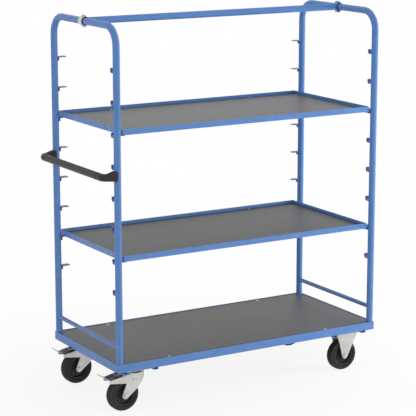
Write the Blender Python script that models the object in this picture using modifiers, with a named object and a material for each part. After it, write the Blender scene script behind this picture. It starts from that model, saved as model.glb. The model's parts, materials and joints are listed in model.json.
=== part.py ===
"""Shelf trolley: two lift-off tray shelves on tube end frames, two braked swivel and two fixed casters.

Metres, +Z up. X runs along the trolley (the push handle is at the -X end), Y runs to the back.
The origin is on the floor under the middle of the trolley's outline.
"""
import math

import bmesh
import bpy
from mathutils import Matrix, Vector

# Fits between pieces
seat_gap = 0.0003
slide_gap = 0.0006
running_gap = 0.0012
cut_overrun = 0.005
weld_distance = 0.00001

# Post tubes and end frames
post_spacing_x = 1.455
post_spacing_y = 0.650
tube_radius = 0.01685
tube_sides = 16
bow_rise = 0.201
bow_bend_radius = 0.090
bend_steps = 6
spigot_radius = 0.0135
spigot_length = 0.060
rung_radius = 0.0105
rung_rise = 0.078

# Base frame of rolled section, with the deck board laid inside it
caster_head_height = 0.045
cross_member_drop = 0.012
rim_height = 0.040
rim_wall = 0.004
rim_overhang = 0.018
rim_corner_radius = 0.005
ledge_width = 0.030
ledge_thickness = 0.004
deck_thickness = 0.012
deck_recess = 0.002
corner_plate_thickness = 0.004
cross_member_width = 0.026
cross_member_wall = 0.003
left_outer_member_inset = 0.023
left_inner_member_inset = 0.190
right_outer_member_inset = 0.046
right_inner_member_inset = 0.221
caster_sheet_width = 0.120
caster_sheet_thickness = 0.004

# Deck screws, large flat heads let into the board
deck_screw_spacing_x = 0.910
deck_screw_inset = 0.022
deck_screw_head_radius = 0.0085
deck_screw_head_thickness = 0.0022
deck_screw_shank_radius = 0.003
deck_screw_length = 0.022

# Hooks welded to the posts, one row every pitch
hook_count = 8
hook_pitch = 0.150
lowest_hook_rise = 0.343
hook_thickness = 0.004
hook_weld_sink = 0.0015
rear_hook_width = 0.030
rear_hook_reach = 0.058
rear_hook_leg = 0.018
rear_hook_bend = 0.003
front_hook_width = 0.019
front_hook_reach = 0.044
front_hook_rise = 0.010
front_hook_drop = 0.0086
front_hook_chamfer = 0.005

# Tray shelves
upper_shelf_hook = 5
lower_shelf_hook = 1
shelf_end_gap = 0.028
shelf_back_overhang = 0.029
shelf_rail_height = 0.027
shelf_rail_wall = 0.003
shelf_ledge_width = 0.025
shelf_board_thickness = 0.007
shelf_corner_radius = 0.004
shelf_tab_thickness = 0.004
shelf_tab_width = 0.014
shelf_tab_end = 0.008
shelf_gusset_length = 0.015
shelf_gusset_width = 0.040

# Top rail and the clamps that hold it to the bows
clamp_width = 0.035
clamp_thickness = 0.003
clamp_flange_reach = 0.0285
clamp_split = 0.0008
clamp_bolt_height = 0.0253
clamp_bolt_radius = 0.002
clamp_bolt_head_radius = 0.0036
clamp_bolt_head_thickness = 0.003
liner_thickness = 0.0015
liner_bead = 0.002
liner_bead_width = 0.003
liner_sides = 20
arc_steps = 12

# Push handle
handle_rise = 0.903
handle_standoff = 0.075
grip_radius = 0.016
grip_elbow_radius = 0.024
grip_sides = 12
foot_length = 0.050
foot_neck_height = 0.037
foot_neck_width = 0.034
foot_height = 0.057
foot_width = 0.0355
foot_ring_points = 16
foot_stage_shares = (0, 0.35, 0.75, 1)
foot_squareness_shares = (0.1, 0.3, 0.55, 0.65)

# Casters
wheel_radius = 0.080
tyre_width = 0.048
tyre_depth = 0.024
tyre_shoulder = 0.014
tyre_round_share = 0.293
rim_edge_width = 0.038
rim_edge_thickness = 0.007
web_thickness = 0.009
hub_radius = 0.017
hub_length = 0.060
axle_radius = 0.006
axle_head_radius = 0.010
axle_head_thickness = 0.006
nut_radius = 0.0098
nut_thickness = 0.008
swivel_inset_x = 0.118
fixed_inset_x = 0.104
caster_inset_y = 0.077
plate_length = 0.135
plate_width = 0.110
plate_thickness = 0.004
plate_corner_radius = 0.010
plate_hole_pitch_x = 0.105
plate_hole_pitch_y = 0.080
plate_hole_radius = 0.0045
plate_hole_slot = 0.006
slot_steps = 4
swivel_trail = 0.0645
fixed_axle_offset = 0.016
fork_width = 0.070
fork_thickness = 0.0035
fork_wheel_margin = 0.0025
leg_eye_radius = 0.0165
race_radius = 0.038
race_neck_radius = 0.031
race_height = 0.0127
crown_radius = 0.048
crown_depth = 0.028
kingpin_radius = 0.006
kingpin_nut_radius = 0.011
kingpin_nut_thickness = 0.007
wheel_steps = 24
small_steps = 12

# Outline of the swivel fork's cheek, from the axle
skirt_tail = 0.084
skirt_tail_drop = 0.008
skirt_tail_depth = 0.014
leg_rear_reach = 0.008
leg_rear_drop = 0.020
leg_front_inset = 0.018
leg_front_rise = 0.028
leg_front_reach = 0.010
leg_front_drop = 0.018
slope_end = 0.018
slope_end_drop = 0.005

# Half length of the fixed fork's cheek at its plate
fixed_cheek_half_length = 0.0635

# Brake pedal, shoe and pin
pedal_pin_back = 0.0045
pedal_pin_rise = 0.0075
pedal_pin_radius = 0.003
pedal_rivet_radius = 0.0048
pedal_barrel_radius = 0.0055
pedal_width = 0.050
pedal_thickness = 0.003
pedal_valley_reach = 0.078
pedal_valley_drop = 0.0145
pedal_flat = 0.006
pedal_tip_reach = 0.120
pedal_tip_rise = 0.007
pedal_slot_reach = 0.046
pedal_slot_length = 0.024
pedal_slot_width = 0.014
pedal_side_gap = 0.003
ear_width = 0.004
ear_half_length = 0.007
shoe_width = 0.028
shoe_length = 0.022
shoe_height = 0.009
shoe_clearance = 0.008
shoe_stem_width = 0.014
shoe_stem_length = 0.010
shoe_reach = 0.030

# Heights that follow from the sizes above
caster_height = 2 * wheel_radius + caster_head_height
rim_bottom = caster_height + cross_member_drop
rim_top = rim_bottom + rim_height
deck_top = rim_top - deck_recess
rung_height = rim_top + rung_rise
handle_height = rim_top + handle_rise
lowest_hook_height = rim_top + lowest_hook_rise
bow_axis_height = lowest_hook_height + (hook_count - 1) * hook_pitch + bow_rise
ledge_top = deck_top - deck_thickness - seat_gap
ledge_bottom = ledge_top - ledge_thickness
rim_half_x = post_spacing_x / 2 + rim_overhang
rim_half_y = post_spacing_y / 2 + rim_overhang
corner_plate_size = rim_overhang + tube_radius
liner_outer = tube_radius + seat_gap + liner_thickness
clamp_inner = liner_outer + seat_gap
clamp_middle = clamp_inner + clamp_thickness / 2
clamp_outer = clamp_inner + clamp_thickness
plate_bottom = caster_height - seat_gap - plate_thickness
crown_top = plate_bottom - race_height
crown_underside = crown_top - fork_thickness
skirt_tail_low = wheel_radius - skirt_tail_drop
leg_rear_top = Vector((leg_rear_reach, wheel_radius - leg_rear_drop))
leg_front_low = Vector((wheel_radius - leg_front_inset, leg_front_rise))
leg_front_high = Vector((wheel_radius + leg_front_reach, wheel_radius - leg_front_drop))
fork_half = fork_width / 2
fork_inner_half = fork_half - fork_thickness
fork_slot_half = tyre_width / 2 + fork_wheel_margin

# The outline reaches further at the handle end and at the back, so the posts' middle is moved by half of that
handle_reach = post_spacing_x / 2 + handle_standoff + grip_radius
clamp_reach = post_spacing_x / 2 + clamp_outer
datum_x = (handle_reach - clamp_reach) / 2
back_reach = post_spacing_y / 2 + shelf_back_overhang
datum_y = (rim_half_y - back_reach) / 2

finishes = {
    "blue_paint": ((0.10, 0.22, 0.56), 0.38, 0.0),
    "grey_board": ((0.18, 0.18, 0.18), 0.62, 0.0),
    "zinc": ((0.62, 0.62, 0.60), 0.34, 0.9),
    "black_plastic": ((0.03, 0.03, 0.03), 0.50, 0.0),
    "rubber": ((0.035, 0.035, 0.037), 0.72, 0.0),
    "dark_steel": ((0.10, 0.11, 0.14), 0.42, 0.6),
}


def clear_scene():
    """Removes what the open file holds."""
    for item in list(bpy.data.objects):
        bpy.data.objects.remove(item, do_unlink=True)


def new_collection(name):
    """A collection linked to the scene."""
    group = bpy.data.collections.new(name)
    bpy.context.scene.collection.children.link(group)
    return group


clear_scene()
parts = new_collection("shelf_trolley")
cutters = new_collection("cutters")


def material_for(item, finish):
    """Gives an object its own Principled material."""
    colour, roughness, metallic = finishes[finish]
    material = bpy.data.materials.new(f"{item.name}_{finish}")
    material.use_nodes = True
    shader = material.node_tree.nodes["Principled BSDF"]
    shader.inputs["Base Color"].default_value = (*colour, 1.0)
    shader.inputs["Roughness"].default_value = roughness
    shader.inputs["Metallic"].default_value = metallic
    item.data.materials.clear()
    item.data.materials.append(material)


def object_from(name, shape, location=(0, 0, 0), rotation=(0, 0, 0), group=None):
    """Turns a bmesh into an object in one of the collections."""
    mesh = bpy.data.meshes.new(name)
    shape.to_mesh(mesh)
    shape.free()
    item = bpy.data.objects.new(name, mesh)
    item.location = location
    item.rotation_euler = rotation
    (group or cutters).objects.link(item)
    return item


def add_box(shape, low, high):
    """Adds a box between two corners to a bmesh and returns its vertices."""
    low = Vector(low)
    high = Vector(high)
    verts = bmesh.ops.create_cube(shape, size=1)["verts"]
    bmesh.ops.scale(shape, vec=high - low, verts=verts)
    bmesh.ops.translate(shape, vec=(high + low) / 2, verts=verts)
    return verts


def box(name, low, high, location=(0, 0, 0), upright_radius=0.0):
    """A box between two corners, its four upright edges rounded where a radius is given."""
    shape = bmesh.new()
    add_box(shape, low, high)
    if upright_radius:
        upright = [e for e in shape.edges if abs(e.verts[0].co.z - e.verts[1].co.z) > seat_gap]
        bmesh.ops.bevel(shape, geom=upright, offset=upright_radius, segments=3, profile=0.5, affect="EDGES")
    return object_from(name, shape, location)


def add_rod(shape, radius, start, end, sides):
    """Adds a closed cylinder between two points to a bmesh."""
    start = Vector(start)
    end = Vector(end)
    along = end - start
    turn = along.to_track_quat("Z", "X").to_matrix().to_4x4()
    place = Matrix.Translation((start + end) / 2) @ turn
    bmesh.ops.create_cone(
        shape, cap_ends=True, segments=sides, radius1=radius, radius2=radius, depth=along.length, matrix=place
    )


def rod(name, radius, start, end, sides=small_steps, location=(0, 0, 0)):
    """A closed cylinder between two points."""
    shape = bmesh.new()
    add_rod(shape, radius, start, end, sides)
    return object_from(name, shape, location)


planes = {
    "XY": Matrix.Identity(4),
    "XZ": Matrix.Rotation(math.pi / 2, 4, "X"),
    "YZ": Matrix.Rotation(math.pi / 2, 4, "Z") @ Matrix.Rotation(math.pi / 2, 4, "X"),
}


def mesh_from_curve(name, curve, turn=None):
    """Makes a curve a mesh with welded caps, turned where a matrix is given."""
    guide = bpy.data.objects.new(name + "_curve", curve)
    cutters.objects.link(guide)
    bpy.context.view_layer.update()
    seen = guide.evaluated_get(bpy.context.evaluated_depsgraph_get())
    mesh = bpy.data.meshes.new_from_object(seen)
    mesh.name = name
    shape = bmesh.new()
    shape.from_mesh(mesh)
    bmesh.ops.remove_doubles(shape, verts=shape.verts, dist=weld_distance)
    if turn:
        bmesh.ops.transform(shape, matrix=turn, verts=shape.verts)
    bmesh.ops.recalc_face_normals(shape, faces=shape.faces)
    shape.to_mesh(mesh)
    shape.free()
    bpy.data.objects.remove(guide, do_unlink=True)
    return mesh


def flat_piece(name, outlines, depth, plane="XZ", location=(0, 0, 0)):
    """Flat outlines in a plane, pushed out by half the depth to both sides of it."""
    curve = bpy.data.curves.new(name + "_outline", "CURVE")
    curve.dimensions = "2D"
    curve.fill_mode = "BOTH"
    curve.extrude = depth / 2
    for outline in outlines:
        line = curve.splines.new("POLY")
        line.points.add(len(outline) - 1)
        for point, (u, v) in zip(line.points, outline):
            point.co = (u, v, 0, 1)
        line.use_cyclic_u = True
    item = bpy.data.objects.new(name, mesh_from_curve(name, curve, planes[plane]))
    item.location = location
    cutters.objects.link(item)
    return item


def inset_outline(points, distance):
    """Draws a closed outline in by the same distance all round, with mitred corners."""
    points = [Vector(p) for p in points]
    area = sum(points[i - 1].cross(points[i]) for i in range(len(points)))
    inset = []
    for index, point in enumerate(points):
        before = (point - points[index - 1]).normalized()
        after = (points[(index + 1) % len(points)] - point).normalized()
        normals = [Vector((-d.y, d.x)) * math.copysign(1, area) for d in (before, after)]
        across = (normals[0] + normals[1]).normalized()
        inset.append(point + across * (distance / across.dot(normals[0])))
    return inset


def strip_outline(path, thickness):
    """Closed outline of a bent strip that follows a path, with mitred bends."""
    points = [Vector(p) for p in path]
    sides = ([], [])
    for index, point in enumerate(points):
        before = (point - points[index - 1]).normalized() if index else None
        after = (points[index + 1] - point).normalized() if index < len(points) - 1 else None
        first = before or after
        second = after or before
        across = (first.orthogonal() + second.orthogonal()).normalized()
        reach = thickness / 2 / across.dot(first.orthogonal())
        sides[0].append(point + across * reach)
        sides[1].append(point - across * reach)
    return sides[0] + sides[1][::-1]


def arc(centre, radius, start, end, steps):
    """Points along an arc, angles in radians, both ends included."""
    turns = [start + (end - start) * i / steps for i in range(steps + 1)]
    return [Vector((centre[0] + radius * math.cos(t), centre[1] + radius * math.sin(t))) for t in turns]


def turned(name, profile, steps, location=(0, 0, 0), rotation=(0, 0, 0), closed=False, group=None):
    """A turned piece: a profile of (radius, height) points with a Screw modifier round Z."""
    mesh = bpy.data.meshes.new(name)
    edges = [(i, i + 1) for i in range(len(profile) - 1)]
    if closed:
        edges.append((len(profile) - 1, 0))
    mesh.from_pydata([(r, 0, z) for r, z in profile], edges, [])
    item = bpy.data.objects.new(name, mesh)
    item.location = location
    item.rotation_euler = rotation
    (group or cutters).objects.link(item)
    screw = item.modifiers.new("turn", "SCREW")
    screw.steps = steps
    screw.render_steps = steps
    screw.use_merge_vertices = True
    screw.merge_threshold = weld_distance
    screw.use_smooth_shade = False
    return item


def tube_along(name, path, radius, sides, location=(0, 0, 0)):
    """A round bar along a path, made a mesh with welded caps."""
    curve = bpy.data.curves.new(name + "_path", "CURVE")
    curve.dimensions = "3D"
    curve.bevel_depth = radius
    curve.bevel_resolution = sides // 2 - 2
    curve.use_fill_caps = True
    line = curve.splines.new("POLY")
    line.points.add(len(path) - 1)
    for point, place in zip(line.points, path):
        point.co = (*place, 1)
    item = bpy.data.objects.new(name, mesh_from_curve(name, curve))
    item.location = location
    cutters.objects.link(item)
    return item


def combine(item, tool, operation):
    """Cuts or joins with a Boolean modifier, and puts the tool away."""
    step = item.modifiers.new(tool.name, "BOOLEAN")
    step.operation = operation
    step.solver = "EXACT"
    step.object = tool
    tool.hide_render = True
    tool.hide_viewport = False
    tool.display_type = "WIRE"


def cut(item, *tools):
    """Takes tools away from a piece."""
    for tool in tools:
        combine(item, tool, "DIFFERENCE")


def weld(item, *tools):
    """Joins tools to a piece."""
    for tool in tools:
        combine(item, tool, "UNION")


def keep(item, finish, parent=None):
    """Makes an object one of the trolley's pieces, with its finish and its parent."""
    for group in list(item.users_collection):
        group.objects.unlink(item)
    parts.objects.link(item)
    material_for(item, finish)
    if parent:
        item.parent = parent
    item.data.shade_smooth()
    item.data.set_sharp_from_angle(angle=math.radians(35))
    return item


def empty(name, location, parent=None):
    """A parent that carries the pieces of one body."""
    item = bpy.data.objects.new(name, None)
    item.location = location
    parts.objects.link(item)
    if parent:
        item.parent = parent
    return item


def carry(items, parent):
    """Parents cutting tools to the body whose pieces they shape."""
    for item in items:
        item.parent = parent


def mirror_signs():
    """The four corner signs, left front first."""
    return [(sx, sy) for sx in (-1, 1) for sy in (-1, 1)]


def side_name(sx):
    """Left end (-X) or right end (+X)."""
    return "left" if sx < 0 else "right"


def depth_name(sy):
    """Front (-Y) or rear (+Y)."""
    return "front" if sy < 0 else "rear"


def deck_screw_places():
    """Where the deck screws stand, on the middle of the ledge's length share."""
    y = rim_half_y - deck_screw_inset
    return [(sx * deck_screw_spacing_x / 2, sy * y, deck_top) for sx, sy in mirror_signs()]


def post_places():
    """The four post axes."""
    return [(sx * post_spacing_x / 2, sy * post_spacing_y / 2) for sx, sy in mirror_signs()]


def build_base_rim(datum):
    """Welded base frame: rolled rim with a ledge, corner plates and a spigot under each post."""
    rim = box(
        "base_rim",
        (-rim_half_x, -rim_half_y, rim_bottom),
        (rim_half_x, rim_half_y, rim_top),
        upright_radius=rim_corner_radius,
    )
    inner_x = rim_half_x - rim_wall
    inner_y = rim_half_y - rim_wall
    high = (inner_x, inner_y, rim_top + cut_overrun)
    upper = box("rim_upper_pocket", (-inner_x, -inner_y, ledge_top), high)
    low = (-inner_x, -inner_y, rim_bottom - cut_overrun)
    lower = box("rim_lower_pocket", low, (inner_x, inner_y, ledge_bottom))
    clear_x = inner_x - ledge_width
    clear_y = inner_y - ledge_width
    window = box("rim_window", (-clear_x, -clear_y, rim_bottom), (clear_x, clear_y, rim_top))
    cut(rim, upper, lower, window)
    shape = bmesh.new()
    for sx, sy in mirror_signs():
        outer = Vector((sx * (rim_half_x - rim_wall / 2), sy * (rim_half_y - rim_wall / 2)))
        inner = Vector((sx * (rim_half_x - corner_plate_size), sy * (rim_half_y - corner_plate_size)))
        low = (min(outer.x, inner.x), min(outer.y, inner.y), rim_top - corner_plate_thickness)
        high = (max(outer.x, inner.x), max(outer.y, inner.y), rim_top)
        add_box(shape, low, high)
    weld(rim, object_from("rim_corner_plates", shape))
    shape = bmesh.new()
    for x, y in post_places():
        foot = rim_top - corner_plate_thickness / 2
        add_rod(shape, spigot_radius, (x, y, foot), (x, y, rim_top + spigot_length), small_steps)
    weld(rim, object_from("rim_spigots", shape))
    shape = bmesh.new()
    for x, y, z in deck_screw_places():
        bore = deck_screw_shank_radius + slide_gap
        add_rod(shape, bore, (x, y, ledge_bottom - cut_overrun), (x, y, z), small_steps)
    cut(rim, object_from("rim_screw_holes", shape))
    keep(rim, "blue_paint", datum)


def build_caster_frame(datum, sx):
    """Two open channels under the ledge, joined by the sheets that carry the casters."""
    outer, inner = member_insets(sx)
    half = cross_member_width / 2
    wall = cross_member_wall
    half_y = rim_half_y - rim_wall - seat_gap
    top = ledge_bottom - seat_gap
    name = f"{side_name(sx)}_caster_frame"
    blocks = bmesh.new()
    pockets = bmesh.new()
    for inset in (outer, inner):
        x = sx * (post_spacing_x / 2 - inset)
        add_box(blocks, (x - half, -half_y, caster_height), (x + half, half_y, top))
        low = (x - half + wall, -half_y - cut_overrun, caster_height + wall)
        add_box(pockets, low, (x + half - wall, half_y + cut_overrun, top + cut_overrun))
    frame = object_from(name, blocks)
    cut(frame, object_from(name + "_pockets", pockets))
    sheets = bmesh.new()
    insets = (outer + half - wall / 2, inner - half + wall / 2)
    ends = sorted(sx * (post_spacing_x / 2 - inset) for inset in insets)
    for sy in (-1, 1):
        y = sy * (post_spacing_y / 2 - caster_inset_y)
        low = (ends[0], y - caster_sheet_width / 2, caster_height)
        high = (ends[1], y + caster_sheet_width / 2, caster_height + caster_sheet_thickness)
        add_box(sheets, low, high)
    weld(frame, object_from(name + "_sheets", sheets))
    keep(frame, "blue_paint", datum)


def member_insets(sx):
    """How far the outer and the inner channel of an end lie from its post axes."""
    if sx < 0:
        return left_outer_member_inset, left_inner_member_inset
    return right_outer_member_inset, right_inner_member_inset


def build_deck(datum):
    """Deck board with notched corners, and its four large flat screws."""
    half_x = rim_half_x - rim_wall - slide_gap
    half_y = rim_half_y - rim_wall - slide_gap
    board = box("deck_board", (-half_x, -half_y, deck_top - deck_thickness), (half_x, half_y, deck_top))
    shape = bmesh.new()
    notch = corner_plate_size + slide_gap
    for sx, sy in mirror_signs():
        outer = (sx * (rim_half_x + cut_overrun), sy * (rim_half_y + cut_overrun))
        inner = (sx * (rim_half_x - notch), sy * (rim_half_y - notch))
        low = (min(outer[0], inner[0]), min(outer[1], inner[1]), rim_bottom)
        high = (max(outer[0], inner[0]), max(outer[1], inner[1]), rim_top + cut_overrun)
        add_box(shape, low, high)
    cut(board, object_from("deck_notches", shape))
    shape = bmesh.new()
    for x, y, z in deck_screw_places():
        floor = z - deck_screw_head_thickness - slide_gap
        bore = deck_screw_head_radius + slide_gap
        add_rod(shape, bore, (x, y, floor), (x, y, z + cut_overrun), small_steps)
    cut(board, object_from("deck_counterbores", shape))
    shape = bmesh.new()
    for x, y, z in deck_screw_places():
        bore = deck_screw_shank_radius + slide_gap
        add_rod(shape, bore, (x, y, ledge_bottom), (x, y, z), small_steps)
    cut(board, object_from("deck_screw_holes", shape))
    keep(board, "grey_board", datum)
    head = deck_screw_head_radius
    lip = deck_screw_head_thickness / 3
    profile = [
        (0, 0),
        (head - lip, 0),
        (head, -lip),
        (head, -deck_screw_head_thickness),
        (deck_screw_shank_radius, -deck_screw_head_thickness),
        (deck_screw_shank_radius, -deck_screw_length),
        (0, -deck_screw_length),
    ]
    for number, place in enumerate(deck_screw_places(), 1):
        screw = turned(f"deck_screw_{number}", profile, small_steps, location=place)
        keep(screw, "zinc", datum)


def hook_heights():
    """Height of the face that carries a shelf, for each row of hooks."""
    return [lowest_hook_height + hook_pitch * i for i in range(hook_count)]


def raised(outline, height):
    """An outline lifted by a height."""
    return [(p[0], p[1] + height) for p in outline]


def rear_hooks(name, inward, x):
    """Bent strips with a level leg that carries a shelf's rear corner, one for each row."""
    stem = tube_radius - hook_weld_sink + hook_thickness / 2
    top = -hook_thickness / 2
    path = [
        (inward * stem, top - rear_hook_leg),
        (inward * stem, top - rear_hook_bend),
        (inward * (stem + rear_hook_bend), top),
        (inward * rear_hook_reach, top),
    ]
    outline = strip_outline(path, hook_thickness)
    outlines = [raised(outline, height) for height in hook_heights()]
    return flat_piece(name, outlines, rear_hook_width, "XZ", (x, post_spacing_y / 2, 0))


def front_hooks(name, x):
    """Straps behind the front post, bent up at the end, one for each row."""
    leg = -front_hook_drop - hook_thickness / 2
    lip = front_hook_reach - hook_thickness / 2
    path = [
        (tube_radius - hook_weld_sink, leg),
        (lip - front_hook_chamfer, leg),
        (lip, leg + front_hook_chamfer),
        (lip, front_hook_rise),
    ]
    outline = strip_outline(path, hook_thickness)
    outlines = [raised(outline, height) for height in hook_heights()]
    return flat_piece(name, outlines, front_hook_width, "YZ", (x, -post_spacing_y / 2, 0))


def build_end_frame(datum, sx):
    """Bow of one bent tube with two rows of welded hooks, open at its feet for the spigots."""
    x = sx * post_spacing_x / 2
    half_y = post_spacing_y / 2
    foot = rim_top + seat_gap
    centre_y = half_y - bow_bend_radius
    centre_z = bow_axis_height - bow_bend_radius
    bend = arc((centre_y, centre_z), bow_bend_radius, 0, math.pi / 2, bend_steps)
    rear = [(0, half_y, foot)] + [(0, p.x, p.y) for p in bend]
    front = [(0, -y, z) for _, y, z in reversed(rear)]
    bow = tube_along(f"{side_name(sx)}_end_frame", rear + front, tube_radius, tube_sides, location=(x, 0, 0))
    weld(bow, rear_hooks(bow.name + "_rear_hooks", -sx, x), front_hooks(bow.name + "_front_hooks", x))
    shape = bmesh.new()
    for y in (-half_y, half_y):
        bore = spigot_radius + slide_gap
        top = rim_top + spigot_length + slide_gap
        add_rod(shape, bore, (0, y, foot - cut_overrun), (0, y, top), small_steps)
    cut(bow, object_from(bow.name + "_bores", shape, location=(x, 0, 0)))
    keep(bow, "blue_paint", datum)


def build_rung(datum, sx):
    """Thin tube between the two posts of an end, coped to them."""
    x = sx * post_spacing_x / 2
    half_y = post_spacing_y / 2
    name = f"{side_name(sx)}_rung"
    low = (0, -half_y, rung_height)
    rung = rod(name, rung_radius, low, (0, half_y, rung_height), tube_sides, location=(x, 0, 0))
    shape = bmesh.new()
    reach = rung_radius + cut_overrun
    for y in (-half_y, half_y):
        low = (0, y, rung_height - reach)
        high = (0, y, rung_height + reach)
        add_rod(shape, tube_radius + seat_gap, low, high, 2 * tube_sides)
    cut(rung, object_from(name + "_copes", shape, location=(x, 0, 0)))
    keep(rung, "blue_paint", datum)


def clamp_shell_outline(side):
    """Half shell round the bow with a flange above and below, seen along Y. side is +1 or -1 along X."""
    split = clamp_split / 2 + clamp_thickness / 2
    start = math.acos(split / clamp_middle)
    bow = arc((0, 0), clamp_middle, start, -start, arc_steps)
    path = [Vector((split, clamp_flange_reach))] + bow + [Vector((split, -clamp_flange_reach))]
    return strip_outline([(side * p.x, p.y) for p in path], clamp_thickness)


def clamp_bolt_holes(name, x):
    """Tools for the two bolt holes through a clamp's flanges."""
    shape = bmesh.new()
    reach = clamp_thickness + cut_overrun
    for sz in (-1, 1):
        z = bow_axis_height + sz * clamp_bolt_height
        add_rod(shape, clamp_bolt_radius + slide_gap, (-reach, 0, z), (reach, 0, z), small_steps)
    return object_from(name, shape, location=(x, 0, 0))


def build_top_rail(datum):
    """Rail tube with a half shell welded to each end."""
    end = post_spacing_x / 2
    rail = rod("top_rail", tube_radius, (-end, 0, bow_axis_height), (end, 0, bow_axis_height), tube_sides)
    reach = clamp_width / 2 + cut_overrun
    for sx in (-1, 1):
        x = sx * end
        name = f"{side_name(sx)}_rail_end"
        cope = rod(
            name + "_cope",
            clamp_middle,
            (0, -reach, bow_axis_height),
            (0, reach, bow_axis_height),
            2 * tube_sides,
            location=(x, 0, 0),
        )
        cut(rail, cope)
    for sx in (-1, 1):
        x = sx * end
        name = f"{side_name(sx)}_rail_end"
        place = (x, 0, bow_axis_height)
        shell = flat_piece(name + "_shell", [clamp_shell_outline(-sx)], clamp_width, location=place)
        weld(rail, shell)
        cut(rail, clamp_bolt_holes(name + "_holes", x))
    keep(rail, "blue_paint", datum)


def build_rail_clamp(datum, sx):
    """Outer half shell, rubber liner and the two bolts of one clamp."""
    x = sx * post_spacing_x / 2
    side = side_name(sx)
    place = (x, 0, bow_axis_height)
    shell = flat_piece(f"{side}_rail_clamp", [clamp_shell_outline(sx)], clamp_width, location=place)
    cut(shell, clamp_bolt_holes(f"{side}_clamp_holes", x))
    keep(shell, "zinc", datum)
    inner = tube_radius + seat_gap
    half = clamp_width / 2 + seat_gap
    bead = liner_outer + liner_bead
    far = half + liner_bead_width
    profile = [
        (inner, far),
        (bead, far),
        (bead, half),
        (liner_outer, half),
        (liner_outer, -half),
        (bead, -half),
        (bead, -far),
        (inner, -far),
    ]
    liner = turned(
        f"{side}_clamp_liner",
        profile,
        liner_sides,
        location=(x, 0, bow_axis_height),
        rotation=(math.pi / 2, 0, 0),
        closed=True,
    )
    keep(liner, "rubber", datum)
    flange_out = clamp_split / 2 + clamp_thickness + seat_gap
    head = clamp_bolt_head_radius
    cap = flange_out + clamp_bolt_head_thickness
    shank = clamp_bolt_radius
    tail = -flange_out - clamp_bolt_head_thickness
    profile = [(0, cap), (head, cap), (head, flange_out), (shank, flange_out), (shank, -flange_out)]
    profile += [(head, -flange_out), (head, tail), (0, tail)]
    for sz, place in ((1, "upper"), (-1, "lower")):
        bolt = turned(
            f"{side}_clamp_bolt_{place}",
            profile,
            small_steps,
            location=(x, 0, bow_axis_height + sz * clamp_bolt_height),
            rotation=(0, sx * math.pi / 2, 0),
        )
        keep(bolt, "zinc", datum)


def build_shelf(datum, name, hook_row):
    """Tray shelf: rail frame with an inner ledge, front tabs that lie in the pockets, and a board."""
    support = hook_heights()[hook_row] + seat_gap
    body = empty(name + "_body", (0, 0, support), datum)
    half_x = post_spacing_x / 2 - shelf_end_gap
    front = -post_spacing_y / 2
    back = post_spacing_y / 2 + shelf_back_overhang
    wall = shelf_rail_wall
    low = (-half_x, front, 0)
    high = (half_x, back, shelf_rail_height)
    frame = box(name + "_frame", low, high, upright_radius=shelf_corner_radius)
    top = shelf_rail_height + cut_overrun
    tray = box(name + "_tray_cut", (wall - half_x, front + wall, wall), (half_x - wall, back - wall, top))
    inner = wall + shelf_ledge_width
    low = (inner - half_x, front + inner, -cut_overrun)
    window = box(name + "_window_cut", low, (half_x - inner, back - inner, top))
    cut(frame, tray, window)
    tabs = shelf_tabs(name + "_tabs")
    gussets = shelf_gussets(name + "_gussets")
    weld(frame, gussets, tabs)
    carry((tray, window, tabs, gussets), body)
    keep(frame, "blue_paint", body)
    low = (wall + slide_gap - half_x, front + wall + slide_gap, wall + seat_gap)
    high = (half_x - wall - slide_gap, back - wall - slide_gap, wall + seat_gap + shelf_board_thickness)
    keep(box(name + "_board", low, high), "grey_board", body)


def shelf_tabs(name):
    """Arms that reach behind the front posts, with an end turned down on the hook's leg."""
    level = hook_weld_sink / 2 - shelf_tab_thickness / 2
    turned_at = -shelf_tab_end + shelf_tab_thickness / 2
    start = shelf_end_gap + shelf_gusset_length - slide_gap
    outlines = []
    for sx in (-1, 1):
        post = sx * post_spacing_x / 2
        path = [(start, level), (turned_at, level), (turned_at, -front_hook_drop)]
        outlines.append(strip_outline([(post - sx * u, z) for u, z in path], shelf_tab_thickness))
    middle = (tube_radius + front_hook_reach - hook_thickness) / 2
    return flat_piece(name, outlines, shelf_tab_width, "XZ", (0, middle - post_spacing_y / 2, 0))


def shelf_gussets(name):
    """Small plates under the front corners, which carry the arms."""
    shape = bmesh.new()
    front = -post_spacing_y / 2 + shelf_corner_radius
    for sx in (-1, 1):
        end = post_spacing_x / 2 - shelf_end_gap
        ends = sorted(sx * (end - reach) for reach in (seat_gap, shelf_gusset_length))
        low = (ends[0], front, -shelf_tab_thickness)
        add_box(shape, low, (ends[1], front + shelf_gusset_width, hook_weld_sink))
    return object_from(name, shape)


def build_handle(datum):
    """Moulded grip with elbows, and a flared foot that wraps half of each left post."""
    x = -post_spacing_x / 2
    half_y = post_spacing_y / 2
    elbow = grip_elbow_radius
    bend = arc((handle_standoff - elbow, half_y - elbow), elbow, 0, math.pi / 2, bend_steps)
    rear = [(-p.x, p.y, 0) for p in bend] + [(-foot_length, half_y, 0)]
    front = [(px, -py, pz) for px, py, pz in reversed(rear)]
    grip = tube_along("handle_grip", front + rear, grip_radius, grip_sides, location=(x, 0, handle_height))
    keep(grip, "black_plastic", datum)
    for sy in (-1, 1):
        name = f"handle_foot_{depth_name(sy)}"
        foot = foot_loft(name, (x, sy * half_y, handle_height))
        reach = foot_height + cut_overrun
        saddle = rod(name + "_saddle", tube_radius + seat_gap, (0, 0, -reach), (0, 0, reach), 2 * tube_sides)
        saddle.location = (x, sy * half_y, handle_height)
        cut(foot, saddle)
        keep(foot, "black_plastic", datum)


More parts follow.
